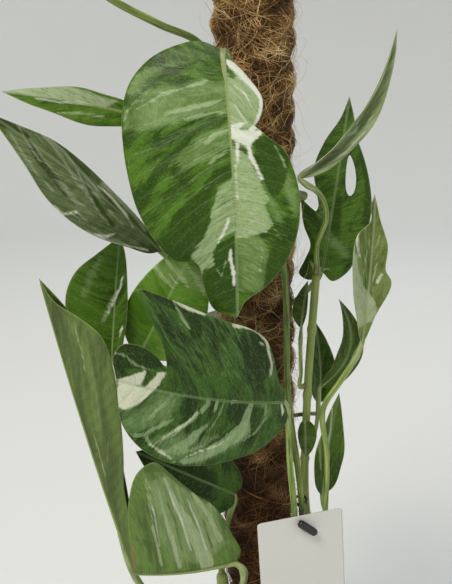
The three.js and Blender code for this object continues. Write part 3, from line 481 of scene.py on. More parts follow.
# Twine: a two-ply cord of golden coir yarn that holds the mat. One length is wound up to the right and one
# up to the left, so that they cross at the front and the back, and both bed into the mat.
PLY = dict(radius=0.33, offset=0.29, lay=3.8, sides=4, step=0.55, stand_off=0.8, slack=0.7, sway=2.2)
YARN = dict(lay=2, strand=0.3125)


def unit(vectors):
    """Vectors of length 1."""
    vectors = np.asarray(vectors, float)
    return vectors / np.maximum(np.linalg.norm(vectors, axis=-1, keepdims=True), 1e-12)


def carried_frame(line, hint):
    """Unit directions along a line, and two across it that turn with it as little as they can."""
    along = unit(np.gradient(line, axis=0))
    side = np.empty_like(along)
    current = np.asarray(hint, float)
    for i, direction in enumerate(along):
        current = current - direction * (current @ direction)
        current = current / np.linalg.norm(current)
        side[i] = current
    return along, side, np.cross(along, side)


def tube(line, radii, sides, hint=(0, 0, 1), profile=None):
    """Points, faces and distances of a tube with closed ends. profile scales its radius by angle."""
    line = np.asarray(line, float)
    along, up, side = carried_frame(line, hint)
    turn = np.linspace(0, 2 * math.pi, sides, endpoint=False)
    scale = np.ones(sides) if profile is None else profile(turn)
    reach = np.asarray(radii, float)[:, None] * scale[None]
    rings = line[:, None] + reach[..., None] * (
        up[:, None] * np.cos(turn)[None, :, None] + side[:, None] * np.sin(turn)[None, :, None])
    faces = ring_faces(len(line), sides).tolist()
    faces = [face[::-1] for face in faces]
    faces += [list(range(sides)), list(range(sides * len(line) - 1, sides * (len(line) - 1) - 1, -1))]
    run = np.concatenate([[0], np.cumsum(np.linalg.norm(np.diff(line, axis=0), axis=1))])
    distance = np.stack([np.repeat(run, sides), (reach * turn[None]).ravel()], -1)
    return rings.reshape(-1, 3), faces, distance


def joined(parts):
    """One set of points, faces and layers from several: each part is (points, faces, layer, ...)."""
    offsets = np.cumsum([0] + [len(part[0]) for part in parts])
    faces = [[index + offset for index in face] for part, offset in zip(parts, offsets) for face in part[1]]
    return [np.vstack([part[0] for part in parts]), faces] + [
        np.vstack([part[k] for part in parts]) for k in range(2, len(parts[0]))]


# Yarn: the same fibre combed straight and spun, paler than the mat, with strands of 0.3 mm in its lay.
yarn, tree, shader = start_material("spun coir yarn", Roughness=0.6, Specular_IOR_Level=0.4)
run = add(tree, "Attribute", attribute_name="run").outputs["Vector"]
spun = (1 / YARN["lay"], 1 / YARN["strand"], 1)
spun = add(tree, "VectorMath", {0: run, 1: spun}, operation="MULTIPLY").outputs[0]
strands = add(tree, "TexNoise", {"Vector": spun, "Scale": 1, "Detail": 4}).outputs[0]
gold = add(tree, "ValToRGB", {0: strands})
gold.color_ramp.elements[0].position = 0.3
gold.color_ramp.elements[0].color = linear("#7a5a2c")
gold.color_ramp.elements[1].position = 0.7
gold.color_ramp.elements[1].color = linear("#cfa869")
tree.links.new(gold.outputs[0], shader.inputs["Base Color"])
bump = add(tree, "Bump", {"Height": strands, "Strength": 0.6, "Distance": 0.4 * MM})
tree.links.new(bump.outputs[0], shader.inputs["Normal"])


def wound(direction, start, size):
    """Plies of a cord round the mat, wound to the right or left from a start, as a share of a turn."""
    height = np.arange(TWINE["bottom"], TWINE["top"], PLY["step"])
    turn = 2 * math.pi * (direction * (height - TWINE["bottom"]) / TWINE["pitch"] - start) - math.pi / 2
    slack = PLY["slack"] * np.sin(height * 0.21 + direction) * np.sin(height * 0.083 + 5 * start)
    course = height + PLY["sway"] * np.sin(height * 0.05 + 2 * direction)
    taut = 12 if direction < 0 else 3
    radius = coir_radius(turn, course)
    radius = np.convolve(np.pad(radius, taut, "edge"), np.ones(2 * taut + 1) / (2 * taut + 1), "valid")
    line = wrapped(turn, course, radius + PLY["stand_off"] + slack)
    _, up, side = carried_frame(line, (1, 0, 0))
    run = np.concatenate([[0], np.cumsum(np.linalg.norm(np.diff(line, axis=0), axis=1))])
    plies = []
    for half in (0, 1):
        lay = (2 * math.pi * run / (size * PLY["lay"]) + math.pi * half)[:, None]
        ply = line + size * PLY["offset"] * (up * np.cos(lay) + side * np.sin(lay))
        points, faces, distance = tube(ply, np.full(len(ply), size * PLY["radius"]), PLY["sides"], (1, 0, 0))
        apart = 20 * (start + 1) + 5 * direction + 2 * half
        plies.append((points, faces, np.column_stack([distance, np.full(len(points), apart)])))
    return plies


points, faces, layer = joined(wound(1, 0, 1) + wound(-1, 0, 1))
make_piece("pole_twine_cord", points, faces, [yarn], "twine", ["pole_twine"], {"run": layer})

# Two finer cords lie between the turns of the one that is wound to the right, and bed deeper into the mat.
points, faces, layer = joined(wound(1, 1 / 3, 0.7) + wound(1, 2 / 3, 0.7))
make_piece("pole_fine_cords", points, faces, [yarn], "twine", (), {"run": layer})

# Vines: the plant's bare stems, 5 to 8 mm thick, green when young and corky brown low down. They root in
# the mix and climb the pole, and each knot is a ring where a leaf grew or a root comes out.
VINES = {
    "vine_back": (4.5, [[-9, 31, 76], [-9, 31, 124], [-8, 32, 250], [-11, 31.5, 360],
                        [-8, 33, 470], [-10, 33, 560], [-8, 34, 606]]),
    "vine_front": (5, [[24, -34, 76], [24, -34, 124], [25, -35, 180], [27, -36, 214]]),
    "vine_right": (3.2, [[48, -8, 76], [48, -8, 124], [45, -15, 195], [33, -27, 254], [32, -29, 336],
                         [36.5, -26, 424]]),
    "vine_left": (5, [[-24, -32, 76], [-24, -32, 124], [-25, -33, 170], [-27, -35, 205]]),
}
STEM_SIDES = 22
KNOT = dict(spacing=47, shift=19, swell=0.22, width=2.4, slim=0.84)
CORK = dict(foot=124, height=190)
ROOTS = dict(count=13, low=150, high=590, radius=0.9, least=9, most=24, steps=14, sides=8)
RIND = dict(rib=0.909, rib_length=16.7, speckle=2)


def spline(points, shares):
    """Points at shares 0..1 of a centripetal Catmull-Rom curve, counted by its points."""
    p = np.asarray(points, float)
    p = np.vstack([2 * p[0] - p[1], p, 2 * p[-1] - p[-2]])
    at = np.asarray(shares, float) * (len(p) - 3)
    i = np.minimum(at.astype(int), len(p) - 4)
    w = (at - i)[:, None]
    a, b, c, d = p[i], p[i + 1], p[i + 2], p[i + 3]
    ta, tb, tc = [np.linalg.norm(y - x, axis=1, keepdims=True) ** 0.5 for x, y in ((a, b), (b, c), (c, d))]
    m1 = ((b - a) / ta - (c - a) / (ta + tb) + (c - b) / tb) * tb
    m2 = ((c - b) / tb - (d - b) / (tb + tc) + (d - c) / tc) * tb
    return b + m1 * w + (3 * (c - b) - 2 * m1 - m2) * w**2 + (2 * (b - c) + m1 + m2) * w**3


def stem_section(turn):
    """A stem's radius by angle, as a share: it isn't quite round."""
    return 1 + 0.03 * np.sin(3 * turn) + 0.02 * np.sin(7 * turn + 1)


# Stem: a waxy green rind with lengthwise ribs of 0.9 mm, which turns to brown cork at its knots and foot.
rind, tree, shader = start_material("waxy green rind", Specular_IOR_Level=0.45)
run = add(tree, "Attribute", attribute_name="run").outputs["Vector"]
cork = add(tree, "SeparateXYZ", {0: run}).outputs["Z"]
ribbed = (1 / RIND["rib_length"], 1 / RIND["rib"], 0)
ribbed = add(tree, "VectorMath", {0: run, 1: ribbed}, operation="MULTIPLY").outputs[0]
ribs = add(tree, "TexNoise", {"Vector": ribbed, "Scale": 1, "Detail": 4}).outputs[0]
place = add(tree, "TexCoord").outputs["Object"]
speckle = add(tree, "TexNoise", {"Vector": place, "Scale": per_metre(RIND["speckle"]), "Detail": 4})
speckle = speckle.outputs[0]
green = add(tree, "Mix", {0: ribs, 6: linear("#5c7122"), 7: linear("#a7b465")}, data_type="RGBA")
brown = add(tree, "Mix", {0: speckle, 6: linear("#4e3c22"), 7: linear("#a08a62")}, data_type="RGBA")
edge = add(tree, "Math", {0: speckle, 1: cork, 2: -0.5}, operation="MULTIPLY_ADD").outputs[0]
edge = add(tree, "Math", {0: edge, 1: cork}, operation="ADD").outputs[0]
edge = add(tree, "MapRange", {0: edge, 1: 0.25, 2: 0.6}, interpolation_type="SMOOTHSTEP").outputs[0]
colour = add(tree, "Mix", {0: edge, 6: green.outputs[2], 7: brown.outputs[2]}, data_type="RGBA")
tree.links.new(colour.outputs[2], shader.inputs["Base Color"])
gloss = add(tree, "MapRange", {0: edge, 3: 0.42, 4: 0.85}).outputs[0]
tree.links.new(gloss, shader.inputs["Roughness"])
bump = add(tree, "Bump", {"Height": ribs, "Strength": 0.5, "Distance": 0.5 * MM})
tree.links.new(bump.outputs[0], shader.inputs["Normal"])

for order, (name, (radius, points)) in enumerate(VINES.items()):
    line = spline(points, np.linspace(0, 1, 40 * len(points)))
    knot = (line[:, 2] + KNOT["shift"] * order) % KNOT["spacing"]
    knot = np.minimum(knot, KNOT["spacing"] - knot)
    ring = np.exp(-(knot / KNOT["width"]) ** 2)
    tip = np.clip((line[-1, 2] - line[:, 2]) / radius, 0, 1)
    radii = KNOT["slim"] * radius * (1 + KNOT["swell"] * ring) * (0.35 + 0.65 * np.sqrt(1 - (1 - tip) ** 2))
    points, faces, distance = tube(line, radii, STEM_SIDES, (1, 0, 0), stem_section)
    old = np.clip(1 - (line[:, 2] - CORK["foot"]) / CORK["height"], 0, 1) * 0.6 + 0.3 * ring
    parts = [(points, faces, np.column_stack([distance, np.repeat(old, STEM_SIDES)]))]
    if name == "vine_back":
        draw = np.random.default_rng(31)
        for height in np.linspace(ROOTS["low"], ROOTS["high"], ROOTS["count"]):
            base = line[np.argmin(np.abs(line[:, 2] - height))]
            length = draw.uniform(ROOTS["least"], ROOTS["most"])
            turn = draw.choice([-1, 1]) * draw.uniform(0.3, 1.3)
            heading = np.array([math.sin(turn), -0.35 * math.cos(turn), draw.uniform(-0.9, 0.1)])
            bend = np.array([draw.uniform(-4, 4), draw.uniform(-2, 3), -5])
            root = [base, base + heading * length * 0.5 + bend * 0.2, base + heading * length + bend]
            root = spline(root, np.linspace(0, 1, ROOTS["steps"]))
            slim = ROOTS["radius"] * np.linspace(1.2, 0.55, ROOTS["steps"])
            points, faces, distance = tube(root, slim, ROOTS["sides"], (0, 0.1, 1))
            parts.append((points, faces, np.column_stack([distance, np.full(len(points), 0.9)])))
    points, faces, layer = joined(parts)
    make_piece(name + "_rind", points, faces, [rind], "stem", [name], {"run": layer})

# Leaves: leathery blades of 0.3 to 0.7 mm, each grown in one piece with its midrib and petiole. The tissue
# is marbled: cells with less chlorophyll run out along the side veins, as cream and pale green streaks.
VEIN_SWEEP, VEIN_SPREAD, VEIN_CURVE = 0.6, 0.14, 1.3
BLADE = dict(row=1.7, column=2.0, least_rows=40, most_rows=130, least_columns=9, most_columns=32)
GRAIN = dict(narrow=0.21, angle=14, longer=0.7)
THICK = dict(middle=0.7, rim=0.32, quilt=0.28, vein_spacing=8.5)
RIB = dict(share=0.44, end=0.26, sink=0.4, steps=60, sides=12)
PETIOLE = dict(sides=16, start=4, sunk=0.14, slim=0.84, knee=1.22, knee_at=9, knee_reach=5, foot=1.35,
               foot_length=16)
OVATE = [[-0.03, 0.35], [0.12, 0.85], [0.35, 1], [0.65, 0.75], [0.88, 0.3]]
LANCE = [[0.04, 0.35], [0.2, 0.85], [0.45, 1], [0.75, 0.6]]


def wide(outline, width):
    """A plain outline, as wide as the share of the length given."""
    return [[along, out * width] for along, out in outline]


# base and tip end the midrib, and face is the way that the upper side looks. left and right are the margins,
# in shares of the midrib's length, along it and out. arch, bend, cup and wave are in millimetres, fold and
# twist in degrees. A petiole leaves its vine at a height and runs via the points given. skin and stalk name a
# leaf's own tones, where they aren't those of its slot.
LEAVES = {
    "leaf_front_large": dict(
        base=[-26, -62, 570], tip=[-17, -90, 412], face=[-0.1, -1, 0.1], arch=9, bend=-3,
        left=[[0.04, 0.03], [0.12, 0.09], [0.2, 0.13], [0.27, 0.11], [0.31, 0.07], [0.33, 0.12],
              [0.38, 0.19], [0.47, 0.23], [0.58, 0.245], [0.69, 0.23], [0.79, 0.185], [0.88, 0.11],
              [0.94, 0.03]],
        right=[[-0.05, 0.08], [-0.05, 0.17], [-0.01, 0.28], [0.07, 0.36], [0.18, 0.4], [0.3, 0.41],
               [0.44, 0.4], [0.58, 0.37], [0.7, 0.31], [0.78, 0.24], [0.8, 0.15], [0.88, 0.13],
               [0.97, 0.09]],
        fold=[8, 6], cup=[-5, -8], wave=0.8,
        vine="vine_front", at=206, petiole=2.7, slot="leaf", stalk="dark",
        via=[[29, -44, 222], [28, -46, 268], [18, -44, 342], [13, -45, 435], [0, -47, 478], [-17, -49, 520],
             [-23, -52, 565]],
    ),
    "leaf_front_split": dict(
        base=[14, -62, 346], tip=[-90, -110, 379], face=[0, -1, 0.1], arch=5, bend=-3,
        left=[[-0.05, 0.08], [-0.01, 0.18], [0.1, 0.28], [0.24, 0.33], [0.4, 0.37], [0.55, 0.385],
              [0.7, 0.355], [0.82, 0.29], [0.91, 0.2], [0.96, 0.09]],
        right=[[0.02, 0.07], [0.12, 0.17], [0.17, 0.28], [0.26, 0.38], [0.38, 0.43], [0.54, 0.45],
               [0.7, 0.47], [0.87, 0.49], [1.07, 0.49], [0.97, 0.38], [0.83, 0.24], [0.77, 0.13],
               [0.85, 0.18], [0.95, 0.21], [1.04, 0.19], [1.06, 0.12]],
        fold=[8, 12], cup=[-6, -4], wave=0.8,
        vine="vine_front", at=192, petiole=2.7, slot="leaf", skin="deep", stalk="deep_ribbed",
        via=[[22, -47, 206], [23, -53, 258], [19, -54, 300], [17, -56, 330]],
    ),
    "leaf_front_low": dict(
        base=[-17, -55, 225], tip=[-83, -105, 245], face=[0, 0.1, 1], arch=-3, bend=0,
        left=[[-0.03, 0.1], [0.1, 0.3], [0.25, 0.5], [0.43, 0.63], [0.6, 0.69], [0.8, 0.79], [1, 0.88],
              [1.2, 0.94], [1.31, 0.82], [1.29, 0.6], [1.16, 0.3]],
        right=[[0, 0.15], [0.15, 0.4], [0.4, 0.55], [0.7, 0.55], [0.95, 0.35]],
        fold=[80, 82], cup=[-4, -3], wave=1,
        vine="vine_left", at=186, petiole=3, slot="leaf", skin="low",
        via=[[-19, -43, 188], [-13, -51, 202], [-12, -54, 218]],
    ),
    "leaf_left_long": dict(
        base=[-88, -62, 223], tip=[-139, -80, 434], face=[1, -0.3, 0], arch=-2, bend=0,
        left=[[0.05, 0.04], [0.18, 0.055], [0.31, 0.072], [0.43, 0.102], [0.59, 0.146], [0.72, 0.174],
              [0.82, 0.16], [0.88, 0.1], [0.93, 0.03]],
        right=[[0.05, 0.03], [0.25, 0.05], [0.5, 0.09], [0.72, 0.12], [0.88, 0.06]],
        fold=[75, 80], cup=[3, 3], wave=1,
        vine="vine_left", at=172, petiole=2.6, slot="dark_leaf", skin="long",
        via=[[-44, -44, 176], [-66, -53, 190], [-80, -58, 205]],
    ),
    "leaf_left_upper": dict(
        base=[-67, -35, 441], tip=[-165, -80, 535], face=[0, -1, 0.3], arch=6, bend=4,
        left=[[0.05, 0.05], [0.16, 0.1], [0.32, 0.16], [0.48, 0.18], [0.62, 0.16], [0.76, 0.1],
              [0.9, 0.04]],
        right=[[0.05, 0.02], [0.2, 0.04], [0.38, 0.055], [0.56, 0.07], [0.72, 0.07], [0.88, 0.03]],
        fold=[20, 30], cup=[0, 0], wave=1,
        vine="vine_back", at=352, petiole=2.4, slot="dark_leaf", skin="streaked", stalk="olive_ribbed",
        via=[[-30, 26, 360], [-44, 0, 395], [-54, -26, 428]],
    ),
    "leaf_left_top": dict(
        base=[-78, -12, 526], tip=[-162, -50, 545], face=[0, -0.8, 0.6], arch=3, bend=0,
        left=wide(LANCE, 0.14), right=wide(LANCE, 0.11),
        fold=[-10, 10], cup=[0, 0], wave=1,
        vine="vine_back", at=470, petiole=2.2, slot="pale_leaf", skin="low",
        via=[[-28, 30, 478], [-46, 14, 500], [-64, -4, 518]],
    ),
    "leaf_left_dark": dict(
        base=[-101, -34, 368], tip=[-94, -30, 450], face=[0, -1, 0.1], arch=2, bend=0,
        left=[[0.02, 0.16], [0.2, 0.33], [0.5, 0.4], [0.7, 0.33], [0.86, 0.16]],
        right=[[0.05, 0.1], [0.3, 0.17], [0.6, 0.16], [0.87, 0.09]],
        fold=[12, 50], cup=[0, 0], wave=1,
        vine="vine_back", at=288, petiole=2.3, slot="dark_leaf", skin="leaf",
        via=[[-32, 22, 296], [-64, -8, 322], [-92, -28, 350]],
    ),
    "leaf_behind_front": dict(
        base=[-80, -34, 374], tip=[-40, -48, 455], face=[-0.1, -1, 0.1], arch=3, bend=0,
        left=wide(OVATE, 0.25), right=wide(OVATE, 0.34),
        fold=[8, 8], cup=[0, 0], wave=1,
        vine="vine_back", at=310, petiole=2.2, slot="leaf", skin="light",
        via=[[-34, 22, 322], [-58, -4, 345], [-76, -26, 362]],
    ),
    "leaf_low_dark": dict(
        base=[-18, -38, 268], tip=[-86, -42, 302], face=[0, -1, 0.4], arch=4, bend=0,
        left=wide(OVATE, 0.3), right=wide(OVATE, 0.3),
        fold=[10, 10], cup=[-2, -2], wave=1,
        vine="vine_left", petiole=2.3, slot="dark_leaf", skin="deep", stalk="deep_ribbed",
        via=[[-27, -36, 222], [-22, -35, 248]],
    ),
    "leaf_right_top": dict(
        base=[24, -33, 489], tip=[83, -30, 582], face=[0.4, -1, 0], arch=2, bend=11,
        left=wide(LANCE, 0.09), right=wide(LANCE, 0.09),
        fold=[50, 50], cup=[0, 0], wave=1, twist=20,
        vine="vine_right", petiole=2.2, slot="pale_leaf", skin="grey",
        via=[[36.5, -26, 443], [42, -27, 461], [40, -29, 473], [34, -32, 481], [28, -35, 485]],
    ),
    "leaf_right_holed": dict(
        base=[46, 32, 411], tip=[63, 40, 536], face=[0, -1, 0.05], arch=4, bend=0,
        left=[[-0.06, 0.06], [-0.03, 0.13], [0.05, 0.11], [0.14, 0.09], [0.26, 0.15], [0.4, 0.18],
              [0.32, 0.11], [0.36, 0.08], [0.44, 0.1], [0.58, 0.14], [0.74, 0.1], [0.88, 0.03]],
        right=[[-0.05, 0.07], [0.02, 0.15], [0.15, 0.19], [0.28, 0.22], [0.41, 0.22], [0.53, 0.19],
               [0.66, 0.14], [0.78, 0.08], [0.9, 0.04]],
        fold=[6, 6], cup=[-3, -3], wave=1,
        hole=dict(centre=(0.692, 0.5), radii=(0.085, 0.17)),
        vine="vine_back", at=372, petiole=2.4, slot="dark_leaf", skin="leaf", stalk="deep_ribbed",
        via=[[16, 36, 380], [36, 35, 396]],
    ),
    "leaf_right_curled": dict(
        base=[66, -48, 382], tip=[70, -50, 481], face=[0.1, -1, 0], arch=4, bend=0,
        left=[[0.05, 0.03], [0.2, 0.07], [0.4, 0.13], [0.6, 0.16], [0.76, 0.13], [0.84, 0.03],
              [0.93, 0.03]],
        right=[[0.06, 0.02], [0.25, 0.06], [0.46, 0.13], [0.54, 0.08], [0.7, 0.08], [0.86, 0.03]],
        fold=[15, 40], cup=[0, 4], wave=1, twist=25,
        vine="vine_right", at=226, petiole=2.4, slot="pale_leaf",
        via=[[45, -37, 246], [45.5, -41, 270], [44.5, -48, 304], [41, -50, 336], [52, -50, 356],
             [60, -49, 369]],
    ),
    "leaf_right_dark": dict(
        base=[42, -18, 340], tip=[52, -25, 406], face=[0.1, -1, 0], arch=3, bend=14,
        left=wide(LANCE, 0.12), right=wide(LANCE, 0.14),
        fold=[15, 15], cup=[0, 0], wave=1,
        vine="vine_right", at=300, petiole=1.8, slot="dark_leaf",
        via=[[40, -18, 312], [41, -16, 328]],
    ),
    "leaf_right_small": dict(
        base=[27, -26, 386], tip=[31, -26, 419], face=[-0.3, -1, 0], arch=1, bend=0,
        left=wide(LANCE, 0.22), right=wide(LANCE, 0.08),
        fold=[10, 10], cup=[0, 0], wave=0.4,
        vine="vine_right", at=346, petiole=1.6, slot="dark_leaf",
        via=[[27, -33, 356], [26.5, -30, 374]],
    ),
    "leaf_right_inner": dict(
        base=[44, 8, 318], tip=[39, 8, 381], face=[0.2, -1, 0], arch=2, bend=2,
        left=wide(LANCE, 0.16), right=wide(LANCE, 0.17),
        fold=[20, 20], cup=[0, 0], wave=0.8,
        vine="vine_back", at=290, petiole=2, slot="leaf",
        via=[[14, 34, 295], [36, 24, 303], [44, 12, 309]],
    ),
    "leaf_right_low": dict(
        base=[44, -31, 264], tip=[53, -37, 343], face=[0.2, -1, 0], arch=2, bend=-2,
        left=wide(LANCE, 0.12), right=wide(LANCE, 0.14),
        fold=[15, 20], cup=[0, 0], wave=1,
        vine="vine_right", at=210, petiole=2, slot="pale_leaf", skin="long",
        via=[[49, -24, 220], [48, -28, 244]],
    ),
    "leaf_right_drooping": dict(
        base=[30, -38, 322], tip=[31, -40, 296], face=[0, -1, 0.1], arch=1, bend=0,
        left=wide(OVATE, 0.3), right=wide(OVATE, 0.2),
        fold=[10, 10], cup=[0, 0], wave=0.4,
        vine="vine_right", at=300, petiole=1.6, slot="dark_leaf",
        via=[[31, -37, 308], [30, -37, 316]],
    ),
    "leaf_top_left": dict(
        base=[-120, -58, 622], tip=[-158, -82, 690], face=[0.2, -1, 0.3], arch=6, bend=0,
        left=wide(OVATE, 0.36), right=wide(OVATE, 0.36),
        fold=[10, 10], cup=[-3, -3], wave=1,
        vine="vine_back", at=520, petiole=2.9, slot="leaf", stalk="dark",
        via=[[-28, 22, 542], [-42, -20, 574], [-65, -38, 585], [-95, -50, 601]],
    ),
    "leaf_top_young": dict(
        base=[12, 22, 652], tip=[58, -12, 706], face=[-0.5, -0.6, 0.8], arch=5, bend=0,
        left=wide(OVATE, 0.3), right=wide(OVATE, 0.3),
        fold=[15, 15], cup=[-2, -2], wave=1,
        vine="vine_back", petiole=2.2, slot="leaf",
        via=[[-7, 34, 625], [3, 29, 645]],
    ),
    "leaf_back_top": dict(
        base=[-30, 66, 535], tip=[-64, 128, 540], face=[-0.2, 0.3, 1], arch=8, bend=3,
        left=wide(OVATE, 0.36), right=wide(OVATE, 0.34),
        fold=[10, 14], cup=[-3, -3], wave=1,
        vine="vine_back", at=500, petiole=2.4, slot="leaf",
        via=[[-14, 46, 508], [-22, 60, 524]],
    ),
    "leaf_back_high": dict(
        base=[12, 66, 468], tip=[2, 140, 418], face=[0.2, 0.7, 0.9], arch=10, bend=-3,
        left=wide(OVATE, 0.33), right=wide(OVATE, 0.36),
        fold=[8, 12], cup=[-3, -4], wave=1,
        vine="vine_back", at=432, petiole=2.4, slot="leaf",
        via=[[-4, 46, 442], [8, 60, 462]],
    ),
    "leaf_back_middle": dict(
        base=[-26, 62, 366], tip=[-68, 132, 330], face=[-0.3, 0.5, 1], arch=9, bend=4,
        left=wide(OVATE, 0.34), right=wide(OVATE, 0.38),
        fold=[16, 10], cup=[-4, -3], wave=1,
        vine="vine_back", at=330, petiole=2.4, slot="dark_leaf",
        via=[[-16, 45, 338], [-24, 56, 358]],
    ),
    "leaf_back_low": dict(
        base=[4, 64, 262], tip=[10, 134, 236], face=[0.3, 0.4, 1], arch=9, bend=0,
        left=wide(OVATE, 0.35), right=wide(OVATE, 0.33),
        fold=[12, 10], cup=[-3, -3], wave=1,
        vine="vine_back", at=222, petiole=2.4, slot="leaf",
        via=[[-5, 46, 232], [2, 58, 254]],
    ),
}

